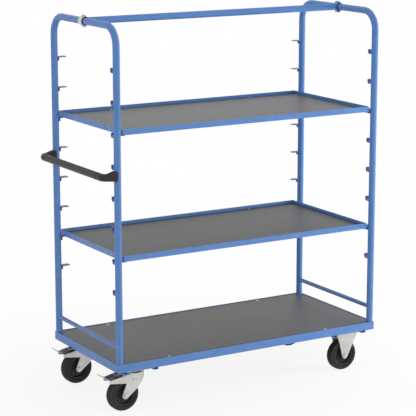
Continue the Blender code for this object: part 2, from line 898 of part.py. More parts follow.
def foot_loft(name, location):
    """Loft from the grip's round end to the tall rounded foot at the post."""
    shape = bmesh.new()
    rings = []
    for along, square in zip(foot_stage_shares, foot_squareness_shares):
        half_y = (foot_neck_width + (foot_width - foot_neck_width) * along) / 2
        half_z = (foot_neck_height + (foot_height - foot_neck_height) * along) / 2
        x = (along - 1) * (foot_length - seat_gap)
        power = 1 - square
        ring = []
        for step in range(foot_ring_points):
            turn = math.tau * step / foot_ring_points
            c, s = math.cos(turn), math.sin(turn)
            y = math.copysign(abs(c) ** power, c) * half_y
            z = math.copysign(abs(s) ** power, s) * half_z
            ring.append(shape.verts.new((x, y, z)))
        rings.append(ring)
    for first, second in zip(rings, rings[1:]):
        for step in range(foot_ring_points):
            after = (step + 1) % foot_ring_points
            shape.faces.new((first[step], first[after], second[after], second[step]))
    shape.faces.new(rings[0][::-1])
    shape.faces.new(rings[-1])
    bmesh.ops.recalc_face_normals(shape, faces=shape.faces)
    return object_from(name, shape, location=location)


def caster_plate_tool(name):
    """Tool for the four slotted holes of a caster plate."""
    half = plate_hole_slot / 2
    outlines = []
    for sx, sy in mirror_signs():
        x = sx * plate_hole_pitch_x / 2
        y = sy * plate_hole_pitch_y / 2
        rear = arc((x, y + half), plate_hole_radius, 0, math.pi, slot_steps)
        front = arc((x, y - half), plate_hole_radius, math.pi, math.tau, slot_steps)
        outlines.append(rear + front)
    deep = 2 * (plate_thickness + cut_overrun)
    return flat_piece(name, outlines, deep, "XY", (0, 0, plate_bottom + plate_thickness / 2))


def swivel_cheek_outline():
    """Side outline of the swivel fork, measured from its swivel axis and the floor."""
    axle = Vector((-swivel_trail, wheel_radius))
    eye = arc(axle, leg_eye_radius, math.radians(165), math.radians(315), 8)
    edge = math.sqrt(crown_radius**2 - (fork_width / 2) ** 2)
    return [
        Vector((axle.x - skirt_tail, axle.y + skirt_tail_low)),
        axle + leg_rear_top,
        *eye,
        axle + leg_front_low,
        axle + leg_front_high,
        Vector((edge, crown_top - crown_depth)),
        Vector((edge, crown_top - slope_end_drop)),
        Vector((axle.x + slope_end, crown_top - slope_end_drop)),
        Vector((axle.x - skirt_tail, axle.y + skirt_tail_low + skirt_tail_depth)),
    ]


def build_wheel(parent, name, axle):
    """Rubber tyre on a moulded rim with a long hub, both turned round the axle."""
    body = empty(name + "_wheel_body", axle, parent)
    turn = (math.pi / 2, 0, 0)
    seat = wheel_radius - tyre_depth
    half = tyre_width / 2
    edge = rim_edge_width / 2
    shoulder = tyre_shoulder
    profile = [
        (wheel_radius, half - shoulder),
        (wheel_radius, shoulder - half),
        (wheel_radius - shoulder * tyre_round_share, shoulder * tyre_round_share - half),
        (wheel_radius - shoulder, -half),
        (seat, -half),
        (seat, half),
        (wheel_radius - shoulder, half),
        (wheel_radius - shoulder * tyre_round_share, half - shoulder * tyre_round_share),
    ]
    tyre = turned(f"{name}_tyre", profile, wheel_steps, rotation=turn, closed=True)
    keep(tyre, "rubber", body)
    outer = seat - seat_gap
    inner = outer - rim_edge_thickness
    web = web_thickness / 2
    bore = axle_radius + slide_gap
    reach = hub_length / 2
    profile = [
        (outer, edge),
        (outer, -edge),
        (inner, -edge),
        (inner - web, -web),
        (hub_radius + web, -web),
        (hub_radius, -reach),
        (bore, -reach),
        (bore, reach),
        (hub_radius, reach),
        (hub_radius + web, web),
        (inner - web, web),
        (inner, edge),
    ]
    rim = turned(f"{name}_wheel_rim", profile, wheel_steps, rotation=turn, closed=True)
    keep(rim, "black_plastic", body)


def build_axle(parent, name, axle):
    """Axle bolt with its head at the front cheek and its nut at the rear cheek."""
    outside = fork_half + seat_gap
    end = outside + nut_thickness + axle_radius / 2
    head = axle_head_radius
    cap = outside + axle_head_thickness
    profile = [
        (0, cap),
        (head - axle_head_thickness / 3, cap),
        (head, cap - axle_head_thickness / 3),
        (head, outside),
        (axle_radius, outside),
        (axle_radius, -end),
        (0, -end),
    ]
    bolt = turned(f"{name}_axle_bolt", profile, small_steps, location=axle, rotation=(math.pi / 2, 0, 0))
    keep(bolt, "zinc", parent)
    place = (axle[0], axle[1] + outside, axle[2])
    nut = rod(f"{name}_axle_nut", nut_radius, (0, 0, 0), (0, nut_thickness, 0), 6, location=place)
    reach = nut_thickness + cut_overrun
    radius = axle_radius + seat_gap
    bore = rod(name + "_nut_bore", radius, (0, -cut_overrun, 0), (0, reach, 0), location=place)
    cut(nut, bore)
    carry((bore,), parent)
    keep(nut, "zinc", parent)


def build_swivel_caster(datum, sy):
    """Braked swivel caster at the handle end."""
    name = f"left_{depth_name(sy)}"
    x = swivel_inset_x - post_spacing_x / 2
    y = sy * (post_spacing_y / 2 - caster_inset_y)
    fixed = empty(name + "_caster_mount", (x, y, 0), datum)
    half_x = plate_length / 2
    half_y = plate_width / 2
    top = caster_height - seat_gap
    low = (-half_x, -half_y, plate_bottom)
    plate = box(f"{name}_caster_plate", low, (half_x, half_y, top), upright_radius=plate_corner_radius)
    holes = caster_plate_tool(name + "_plate_holes")
    carry((holes,), fixed)
    cut(plate, holes)
    keep(plate, "zinc", fixed)
    build_kingpin(fixed, name)
    swivel = empty(name + "_swivel_body", (0, 0, 0), fixed)
    build_swivel_fork(swivel, name)
    axle = (-swivel_trail, 0, wheel_radius)
    build_wheel(swivel, name, axle)
    build_axle(swivel, name, axle)
    build_brake(swivel, name)


def build_kingpin(parent, name):
    """Race cup under the plate with the kingpin and its nut, turned as one riveted piece."""
    top = plate_bottom - seat_gap
    low = crown_top + running_gap
    pin_low = crown_underside - running_gap
    nut_low = pin_low - kingpin_nut_thickness
    profile = [
        (0, top),
        (race_radius, top),
        (race_radius, (top + low) / 2),
        (race_neck_radius, low),
        (kingpin_radius, low),
        (kingpin_radius, pin_low),
        (kingpin_nut_radius, pin_low),
        (kingpin_nut_radius, nut_low),
        (0, nut_low),
    ]
    keep(turned(f"{name}_kingpin", profile, wheel_steps), "zinc", parent)


def build_swivel_fork(parent, name):
    """Pressed fork: a round crown, two cheeks with edges folded in, and a skirt behind the leg."""
    outline = swivel_cheek_outline()
    fork = flat_piece(f"{name}_fork", [outline], fork_width)
    low = (0, 0, crown_top - crown_depth)
    crown = rod(name + "_crown", crown_radius, low, (0, 0, crown_top), wheel_steps)
    weld(fork, crown)
    pocket = flat_piece(name + "_fork_pocket", [inset_outline(outline, fork_thickness)], 2 * fork_inner_half)
    slot = flat_piece(name + "_wheel_slot", [wheel_slot_outline()], 2 * fork_slot_half)
    low = crown_top - crown_depth - cut_overrun
    inner = crown_radius - fork_thickness
    hollow = rod(name + "_crown_hollow", inner, (0, 0, low), (0, 0, crown_underside), wheel_steps)
    room = hub_room(name, (-swivel_trail, 0, wheel_radius))
    cut(fork, pocket, slot, hollow, room)
    ears = brake_ears(name)
    weld(fork, ears)
    low = (0, 0, crown_underside - cut_overrun)
    pin = rod(name + "_kingpin_hole", kingpin_radius + slide_gap, low, (0, 0, crown_top + cut_overrun))
    reach = fork_half + cut_overrun
    bore = axle_radius + seat_gap
    low = (-swivel_trail, -reach, wheel_radius)
    axle = rod(name + "_axle_hole", bore, low, (-swivel_trail, reach, wheel_radius))
    window = brake_window(name)
    place = pedal_pin_place()
    bore = pedal_pin_radius + seat_gap
    low = (place.x, -pedal_width, place.y)
    pin_hole = rod(name + "_pedal_pin_hole", bore, low, (place.x, pedal_width, place.y))
    cut(fork, pin, axle, window, pin_hole)
    carry((crown, pocket, slot, hollow, room, ears, pin, axle, window, pin_hole), parent)
    keep(fork, "zinc", parent)


def hub_room(name, axle):
    """Space for the wheel's hub between the cheeks, which ends the folded edges round the axle."""
    radius = leg_eye_radius + fork_wheel_margin
    reach = fork_inner_half + seat_gap
    return rod(name + "_hub_room", radius, (0, -reach, 0), (0, reach, 0), wheel_steps, location=axle)


def slope_height(x):
    """Height of the swivel fork's sloping top at a place measured from the swivel axis."""
    start = slope_end - swivel_trail
    end = -swivel_trail - skirt_tail
    high = crown_top - slope_end_drop
    low = wheel_radius + skirt_tail_low + skirt_tail_depth
    share = min(max((start - x) / (start - end), 0), 1)
    return high + (low - high) * share


def wheel_slot_outline():
    """Side outline of the slot that the wheel turns in, open below, before and behind."""
    behind = -swivel_trail - skirt_tail - cut_overrun
    ahead = crown_radius + cut_overrun
    start = slope_end - swivel_trail
    tail = -swivel_trail - skirt_tail
    slope = (slope_height(start) - slope_height(tail)) / (start - tail)
    top = slope_height(start) - fork_thickness - fork_wheel_margin
    return [
        (behind, 0),
        (ahead, 0),
        (ahead, crown_top - crown_depth - fork_wheel_margin),
        (crown_radius - 2 * fork_thickness, top),
        (start, top),
        (behind, top - slope * (start - behind)),
    ]


def pedal_pin_place():
    """Middle of the pedal's pin, above the fork's sloping top."""
    x = -swivel_trail - pedal_pin_back
    return Vector((x, slope_height(x) + pedal_pin_rise))


def brake_ears(name):
    """Two ears on the fork that hold the pedal's pin."""
    place = pedal_pin_place()
    half = ear_half_length
    sunk = fork_thickness / 2
    outline = [
        (place.x + half, slope_height(place.x + half) - sunk),
        *arc(place, half, 0, math.pi, 6),
        (place.x - half, slope_height(place.x - half) - sunk),
    ]
    y = pedal_width / 2 + running_gap / 2 + ear_width / 2
    ears = flat_piece(name + "_brake_ears", [outline], 2 * y + ear_width)
    gap = flat_piece(name + "_ear_gap", [ear_gap_outline(place, half)], pedal_width + running_gap)
    cut(ears, gap)
    gap.parent = ears
    return ears


def ear_gap_outline(place, half):
    """Space between the ears, a little larger than their outline."""
    over = cut_overrun
    low = slope_height(place.x) - fork_thickness - over
    return [
        (place.x + half + over, low),
        (place.x + half + over, place.y + half + over),
        (place.x - half - over, place.y + half + over),
        (place.x - half - over, low),
    ]


def brake_window(name):
    """Opening in the fork's top that the pedal dips into."""
    half_y = pedal_width / 2 + pedal_side_gap
    ahead = pedal_pin_place().x - ear_half_length - pedal_side_gap
    behind = -swivel_trail - skirt_tail - cut_overrun
    low = wheel_radius + leg_rear_top.y - cut_overrun
    return box(name + "_brake_window", (behind, -half_y, low), (ahead, half_y, crown_top + cut_overrun))


def pedal_path():
    """Side view of the bent pedal strip, from the pin to the tip, measured from the pin."""
    valley = Vector((-pedal_valley_reach, -pedal_valley_drop))
    return [
        Vector((-pedal_barrel_radius / 2, pedal_barrel_radius / 2)),
        valley,
        Vector((valley.x - pedal_flat, valley.y)),
        Vector((-pedal_tip_reach, pedal_tip_rise)),
    ]


def build_brake(swivel, name):
    """Pedal on its pin, and the shoe that the pedal presses on the tyre."""
    pin = pedal_pin_place()
    body = empty(name + "_brake_body", (pin.x, 0, pin.y), swivel)
    path = pedal_path()
    pedal = flat_piece(f"{name}_brake_pedal", [strip_outline(path, pedal_thickness)], pedal_width)
    low = (0, -pedal_width / 2, 0)
    barrel = rod(name + "_pedal_barrel", pedal_barrel_radius, low, (0, pedal_width / 2, 0))
    weld(pedal, barrel)
    reach = pedal_width / 2 + cut_overrun
    bore = rod(name + "_pedal_bore", pedal_pin_radius + seat_gap, (0, -reach, 0), (0, reach, 0))
    deep = pedal_valley_drop + pedal_barrel_radius + cut_overrun
    half = pedal_slot_length / 2
    low = (-pedal_slot_reach - half, -pedal_slot_width / 2, -deep)
    slot = box(name + "_pedal_slot", low, (half - pedal_slot_reach, pedal_slot_width / 2, deep))
    cut(pedal, bore, slot)
    carry((barrel, bore, slot), body)
    keep(pedal, "dark_steel", body)
    end = pedal_width / 2 + running_gap / 2 + ear_width + seat_gap
    rivet = pedal_rivet_radius
    cap = end + pedal_pin_radius / 2
    profile = [(0, cap), (rivet, cap), (rivet, end), (pedal_pin_radius, end), (pedal_pin_radius, -end)]
    profile += [(rivet, -end), (rivet, -cap), (0, -cap)]
    place = (pin.x, 0, pin.y)
    turn = (math.pi / 2, 0, 0)
    rivet_pin = turned(f"{name}_pedal_pin", profile, small_steps, location=place, rotation=turn)
    keep(rivet_pin, "zinc", swivel)
    build_brake_shoe(body, name)


def build_brake_shoe(body, name):
    """Shoe with a forked stem that hangs from the pedal, curved like the tyre below it."""
    pin = pedal_pin_place()
    path = pedal_path()
    x = -shoe_reach
    slope = (path[0].y - path[1].y) / (path[0].x - path[1].x)
    stem_top = path[0].y - slope * (path[0].x - x + shoe_stem_length / 2) - pedal_thickness / 2 - 2 * seat_gap
    axle = Vector((-swivel_trail - pin.x, wheel_radius - pin.y))
    radius = wheel_radius + shoe_clearance
    far = x - shoe_length / 2
    near = x + shoe_length / 2
    steps = 5
    under = []
    for step in range(steps + 1):
        along = far + (near - far) * step / steps
        under.append((along, axle.y + math.sqrt(radius**2 - (along - axle.x) ** 2)))
    over = [(along, height + shoe_height) for along, height in reversed(under)]
    shoe = flat_piece(f"{name}_brake_shoe", [under + over], shoe_width)
    middle = axle.y + math.sqrt(radius**2 - (x - axle.x) ** 2)
    half = shoe_stem_length / 2
    low = (x - half, -shoe_stem_width / 2, middle + shoe_height / 2)
    stem = box(name + "_shoe_stem", low, (x + half, shoe_stem_width / 2, stem_top))
    weld(shoe, stem)
    carry((stem,), body)
    keep(shoe, "dark_steel", body)


def fixed_cheek_outline(top):
    """Side outline of the fixed fork up to a height, measured from the middle of its plate and the floor."""
    axle = Vector((-fixed_axle_offset, wheel_radius))
    eye = arc(axle, leg_eye_radius, math.radians(195), math.radians(330), 8)
    return [(-fixed_cheek_half_length, top), *eye, (fixed_cheek_half_length, top)]


def build_fixed_caster(datum, sy):
    """Fixed caster at the far end, its fork pressed in one piece with the plate."""
    name = f"right_{depth_name(sy)}"
    x = post_spacing_x / 2 - fixed_inset_x
    y = sy * (post_spacing_y / 2 - caster_inset_y)
    mount = empty(name + "_caster_mount", (x, y, 0), datum)
    half_x = plate_length / 2
    half_y = plate_width / 2
    top = caster_height - seat_gap
    low = (-half_x, -half_y, plate_bottom)
    fork = box(f"{name}_fork", low, (half_x, half_y, top), upright_radius=plate_corner_radius)
    outline = fixed_cheek_outline(plate_bottom + plate_thickness / 2)
    cheeks = flat_piece(name + "_cheeks", [outline], fork_width)
    weld(fork, cheeks)
    inner = inset_outline(fixed_cheek_outline(plate_bottom + fork_thickness), fork_thickness)
    pocket = flat_piece(name + "_fork_pocket", [inner], 2 * fork_inner_half)
    low = (-half_x, -fork_slot_half, 0)
    slot = box(name + "_wheel_slot", low, (half_x, fork_slot_half, plate_bottom - fork_wheel_margin))
    holes = caster_plate_tool(name + "_plate_holes")
    reach = fork_half + cut_overrun
    place = (-fixed_axle_offset, 0, wheel_radius)
    bore = axle_radius + seat_gap
    axle = rod(name + "_axle_hole", bore, (place[0], -reach, place[2]), (place[0], reach, place[2]))
    room = hub_room(name, place)
    cut(fork, pocket, slot, room, holes, axle)
    carry((cheeks, pocket, slot, room, holes, axle), mount)
    keep(fork, "zinc", mount)
    build_wheel(mount, name, place)
    build_axle(mount, name, place)


def build_trolley():
    """Builds every piece round the datum under the trolley's middle."""
    datum = empty("trolley_datum", (0, 0, 0))
    build_base_rim(datum)
    build_deck(datum)
    for sx in (-1, 1):
        build_caster_frame(datum, sx)
        build_end_frame(datum, sx)
        build_rung(datum, sx)
        build_rail_clamp(datum, sx)
    build_top_rail(datum)
    build_shelf(datum, "upper_shelf", upper_shelf_hook)
    build_shelf(datum, "lower_shelf", lower_shelf_hook)
    build_handle(datum)
    for sy in (-1, 1):
        build_swivel_caster(datum, sy)
        build_fixed_caster(datum, sy)
    for item in cutters.objects:
        if item.parent is None:
            item.parent = datum
    datum.location = (datum_x, datum_y, 0)


build_trolley()
bpy.context.view_layer.update()
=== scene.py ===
"""Looks of the shelf trolley: its nodes dressed, the fine pieces the CAD leaves out, studio and camera."""

import json
import logging
import math
from contextlib import contextmanager
from dataclasses import dataclass, replace
from enum import Enum
from typing import Callable, Iterator, Mapping, Sequence

import bmesh
import bpy
from mathutils import Matrix, Vector

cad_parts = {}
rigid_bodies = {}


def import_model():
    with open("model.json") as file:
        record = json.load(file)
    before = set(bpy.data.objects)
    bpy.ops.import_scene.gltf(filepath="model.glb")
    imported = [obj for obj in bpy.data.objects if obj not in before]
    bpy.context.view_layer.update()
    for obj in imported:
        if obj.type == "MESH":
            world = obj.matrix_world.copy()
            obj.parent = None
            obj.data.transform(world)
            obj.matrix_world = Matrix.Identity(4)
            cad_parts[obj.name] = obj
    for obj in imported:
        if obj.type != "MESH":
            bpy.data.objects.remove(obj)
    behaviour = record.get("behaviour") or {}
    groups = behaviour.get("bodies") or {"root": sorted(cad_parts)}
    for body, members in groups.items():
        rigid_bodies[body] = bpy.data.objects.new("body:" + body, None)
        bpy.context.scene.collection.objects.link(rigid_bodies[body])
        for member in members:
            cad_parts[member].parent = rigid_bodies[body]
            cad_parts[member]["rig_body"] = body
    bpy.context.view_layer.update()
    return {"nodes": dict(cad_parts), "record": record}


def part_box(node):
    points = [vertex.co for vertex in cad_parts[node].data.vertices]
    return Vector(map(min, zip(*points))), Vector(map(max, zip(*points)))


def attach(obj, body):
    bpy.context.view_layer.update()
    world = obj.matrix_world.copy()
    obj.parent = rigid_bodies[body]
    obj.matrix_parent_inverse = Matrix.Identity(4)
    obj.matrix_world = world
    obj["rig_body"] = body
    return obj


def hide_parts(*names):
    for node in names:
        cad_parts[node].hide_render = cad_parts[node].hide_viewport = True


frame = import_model()

WELD = 0.00001
UP = Vector((0, 0, 1))
BACK = Vector((0, 1, 0))
RIGHT = Vector((1, 0, 0))
log = logging.getLogger("shelf_trolley")

Pair = tuple[float, float]
Point = tuple[float, float, float]
Colour = tuple[float, float, float, float]
Item = bpy.types.Object
Socket = bpy.types.NodeSocket
Material = bpy.types.Material
FaceTest = Callable[[Vector, Vector], bool]
End = tuple[Vector, Vector]
Edges = tuple[tuple[str, float], ...]
WHITE: Colour = (1.0, 1.0, 1.0, 1.0)
EVEN: Point = (1, 1, 1)


class Side(Enum):
    """The trolley's ends: the push handle is at the left one."""

    LEFT = "left"
    RIGHT = "right"


class Depth(Enum):
    """The trolley's long sides: the front one faces the camera."""

    FRONT = "front"
    REAR = "rear"


class Element(Enum):
    """What edit mode selects."""

    VERTEX = "VERT"
    EDGE = "EDGE"
    FACE = "FACE"


def srgb(red: int, green: int, blue: int) -> Colour:
    """Turns screen numbers into the linear colour that sockets take.

    Args:
        red: red from 0 to 255.
        green: green from 0 to 255.
        blue: blue from 0 to 255.

    Returns:
        The linear colour with full alpha.
    """
    parts = [value / 255 for value in (red, green, blue)]
    linear = [part / 12.92 if part <= 0.04045 else ((part + 0.055) / 1.055) ** 2.4 for part in parts]
    return (*linear, 1.0)


def middle_of(node: str) -> Vector:
    """The middle of a node's box."""
    low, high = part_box(node)
    return (low + high) / 2


@dataclass(frozen=True)
class Grain:
    """Patches: fractal noise whose range from low to high is spread from least to most."""

    scale: float
    detail: float = 4.0
    low: float = 0.3
    high: float = 0.7
    least: float = 0.0
    most: float = 1.0
    stretch: Point = EVEN


@dataclass(frozen=True)
class Relief:
    """Fractal noise pressed into the surface, its depth in metres."""

    scale: float
    detail: float
    depth: float
    strength: float
    stretch: Point = EVEN


class NodeBench:
    """Adds and links the nodes of one tree."""

    def __init__(self, tree: bpy.types.NodeTree) -> None:
        """Keeps the tree that is worked on."""
        self.tree = tree

    def feed(self, socket: Socket, value: object) -> None:
        """Links a socket to another one, or sets it to a plain value.

        Args:
            socket: the input.
            value: an output socket, a number or a colour.
        """
        if isinstance(value, Socket):
            self.tree.links.new(value, socket)
        else:
            socket.default_value = value

    def add(self, kind: str, inputs: Mapping, output: str | int = 0, **settings: object) -> Socket:
        """Adds a node and feeds it.

        Args:
            kind: the node's type name.
            inputs: what goes into which socket.
            output: the socket that is wanted.
            **settings: the node's own properties.

        Returns:
            The output socket.
        """
        node = self.tree.nodes.new(kind)
        for key, value in settings.items():
            setattr(node, key, value)
        for key, value in inputs.items():
            self.feed(node.inputs[key], value)
        return node.outputs[output]

    def sums(self, operation: str, first: object, second: object = 0.0) -> Socket:
        """One arithmetic step of the Math node."""
        return self.add("ShaderNodeMath", {0: first, 1: second}, operation=operation)

    def span(self, value: object, low: float, high: float, least: float = 0.0, most: float = 1.0) -> Socket:
        """Spreads a value's range from low to high from least to most, held at its ends."""
        inputs = {"Value": value, "From Min": low, "From Max": high, "To Min": least, "To Max": most}
        return self.add("ShaderNodeMapRange", inputs, "Result")

    def veil(self, soft: Socket, white: Socket, output: bpy.types.Node, share: object = 1.0) -> None:
        """Shows white to the camera, to gloss and through glass, and the soft shader to all other rays.

        Args:
            soft: the shader that gives light and takes the shadow.
            white: the white shader.
            output: the tree's output node.
            share: how much of the white shows.
        """
        path = self.add("ShaderNodeLightPath", {}).node.outputs
        seen = self.sums("MAXIMUM", path["Is Camera Ray"], path["Is Glossy Ray"])
        seen = self.sums("MAXIMUM", seen, path["Is Transmission Ray"])
        seen = self.sums("MULTIPLY", share, seen)
        self.feed(output.inputs["Surface"], self.add("ShaderNodeMixShader", {0: seen, 1: soft, 2: white}))


class Recipe(NodeBench):
    """One material's node tree, built step by step from noise, ramps and bumps."""

    rubbed_span: Pair = (0.53, 0.60)
    level_span: Pair = (0.6, 1.0)

    def __init__(self, name: str, metallic: float = 0.0, specular: float = 0.5) -> None:
        """Starts a material.

        Args:
            name: the material's name.
            metallic: the shader's metallic value.
            specular: the shader's specular level.
        """
        self.material = bpy.data.materials.new(name)
        self.material.use_nodes = True
        super().__init__(self.material.node_tree)
        self.shader = self.tree.nodes["Principled BSDF"]
        self.shader.inputs["Metallic"].default_value = metallic
        self.shader.inputs["Specular IOR Level"].default_value = specular
        self.place = self.add("ShaderNodeTexCoord", {}, "Object")

    def feed(self, socket: Socket, value: object) -> None:
        """Feeds a socket, which may take the patches of a grain too."""
        super().feed(socket, self.grain(value) if isinstance(value, Grain) else value)

    def stretched(self, stretch: Point) -> Socket:
        """Object coordinates, scaled along each axis."""
        return self.add("ShaderNodeMapping", {"Vector": self.place, "Scale": stretch}, "Vector")

    def noise(self, like: Grain | Relief) -> Socket:
        """Fractal noise from 0 to 1, with the scale, detail and stretch of a grain or relief."""
        inputs = {"Vector": self.stretched(like.stretch), "Scale": like.scale, "Detail": like.detail}
        return self.add("ShaderNodeTexNoise", inputs, "Fac")

    def grain(self, grain: Grain) -> Socket:
        """The patches of a grain."""
        return self.span(self.noise(grain), grain.low, grain.high, grain.least, grain.most)

    def cells(self, scale: float, stretch: Point = EVEN) -> Socket:
        """Irregular cells, each with its own grey: how many per metre, and their stretch."""
        return self.add("ShaderNodeTexVoronoi", {"Vector": self.stretched(stretch), "Scale": scale}, "Color")

    def mix(self, share: object, first: object, second: object, way: str = "MIX") -> Socket:
        """Mixes two colours: the second one's share, both colours, and the blend type."""
        return self.add("ShaderNodeMix", {0: share, 6: first, 7: second}, 2, data_type="RGBA", blend_type=way)

    def border(self, low: Vector, high: Vector, width: float, ends: float = 1.0) -> Socket:
        """How near a place is to the sides of a flat board.

        Args:
            low: the board's lowest corner.
            high: the board's highest corner.
            width: how far in from the long sides the share fades to nothing.
            ends: how many times faster it fades from the two ends.

        Returns:
            The share, 1 at the sides.
        """
        split = self.add("ShaderNodeSeparateXYZ", {0: self.place}).node.outputs
        inwards = []
        for count, speed in enumerate((ends, 1.0)):
            off = self.sums("SUBTRACT", split[count], (low[count] + high[count]) / 2)
            inward = self.sums("SUBTRACT", (high[count] - low[count]) / 2, self.sums("ABSOLUTE", off))
            inwards.append(self.sums("MULTIPLY", inward, speed))
        return self.span(self.sums("MINIMUM", *inwards), 0.0, width, 1.0, 0.0)

    def edges(self, share: object = 1.0) -> Socket:
        """How strongly a place is an outer edge, where hands and goods rub, times a share."""
        pointiness = self.add("ShaderNodeNewGeometry", {}, "Pointiness")
        return self.sums("MULTIPLY", self.span(pointiness, *self.rubbed_span), share)

    def upward(self, share: object) -> Socket:
        """How far a face looks up, from 0 on walls to 1 on level faces, times a share."""
        rise = self.add("ShaderNodeSeparateXYZ", {0: self.place.node.outputs["Normal"]}, "Z")
        return self.sums("MULTIPLY", self.span(rise, *self.level_span), share)

    def bump(self, height: object, depth: float, strength: float, under: Socket | None = None) -> Socket:
        """A bump on the surface.

        Args:
            height: the height from 0 to 1.
            depth: the height's size in metres.
            strength: how much of it shows.
            under: a bump below this one.

        Returns:
            The normal.
        """
        inputs = {"Distance": depth, "Strength": strength, "Height": height}
        if under is not None:
            inputs["Normal"] = under
        return self.add("ShaderNodeBump", inputs, "Normal")

    def relief(self, relief: Relief, under: Socket | None = None) -> Socket:
        """The bump of a relief, over another bump if one is given."""
        return self.bump(self.noise(relief), relief.depth, relief.strength, under)

    def finish(self, colour: object, roughness: object, normal: object) -> Material:
        """Feeds the shader and hands the material over.

        Args:
            colour: base colour.
            roughness: roughness.
            normal: bumped normal.

        Returns:
            The material.
        """
        for key, value in (("Base Color", colour), ("Roughness", roughness), ("Normal", normal)):
            self.feed(self.shader.inputs[key], value)
        return self.material


@dataclass(frozen=True)
class PowderPaint:
    """Blue powder paint: fine orange peel, a slow drift of tone, and edges that goods have rubbed paler."""

    slot: str = "blue_paint"
    colour: Colour = srgb(88, 132, 196)
    deep: Colour = srgb(83, 126, 189)
    rubbed: Colour = srgb(114, 148, 198)
    dust: Colour = srgb(118, 145, 187)
    # Painted shade: the dark blue of the hooks' upright faces.
    shaded: Colour = srgb(42, 62, 120)
    specular: float = 0.35
    drift: Grain = Grain(3.1, 3.0)
    speck: Grain = Grain(160.0, 4.0, 0.62, 0.74, 0.0, 0.22)
    rubbing: Grain = Grain(26.0, 5.0, 0.35, 0.7, 0.15, 0.75)
    settled: Grain = Grain(9.0, 5.0, 0.4, 0.75, 0.0, 0.10)
    scratches: Grain = Grain(14.0, 2.0, 0.70, 0.74, stretch=(1.0, 1.0, 22.0))
    scratch_bump: Pair = (0.00005, 0.4)
    scratch_share: float = 0.12
    roughness: Grain = Grain(55.0, least=0.33, most=0.46)
    peel: Relief = Relief(420.0, 2.0, 0.00012, 0.7)
    hook_specular: float = 0.4
    # Patches of deeper blue within the hooks' painted shade.
    hook_shade_patches: Grain = Grain(60.0, 4.0, 0.35, 0.7, 0.0, 0.45)
    hook_rubbing: Grain = Grain(80.0, 4.0, 0.4, 0.7, 0.1, 0.6)
    hook_roughness: Grain = Grain(90.0, least=0.4, most=0.55)
    hook_relief: Relief = Relief(240.0, 4.0, 0.0002, 0.5)

    def material(self) -> Material:
        """Makes the paint.

        Returns:
            The material.
        """
        mix = Recipe(self.slot, specular=self.specular)
        colour = mix.mix(self.drift, self.deep, self.colour)
        colour = mix.mix(self.speck, colour, self.deep)
        colour = mix.mix(mix.edges(self.rubbing), colour, self.rubbed)
        colour = mix.mix(mix.upward(self.settled), colour, self.dust)
        scratches = mix.grain(self.scratches)
        rough = mix.sums("ADD", self.roughness, mix.sums("MULTIPLY", scratches, self.scratch_share))
        return mix.finish(colour, rough, mix.bump(scratches, *self.scratch_bump, mix.relief(self.peel)))

    def hook_painted_shade(self) -> Material:
        """Makes the painted shade on the hooks' upright faces: a darker blue in uneven patches, rubbed paler
        at the edges.

        Returns:
            The material.
        """
        mix = Recipe(self.slot + "_hooks", specular=self.hook_specular)
        colour = mix.mix(self.hook_shade_patches, self.shaded, self.deep)
        colour = mix.mix(mix.edges(self.hook_rubbing), colour, self.rubbed)
        return mix.finish(colour, self.hook_roughness, mix.relief(self.hook_relief))


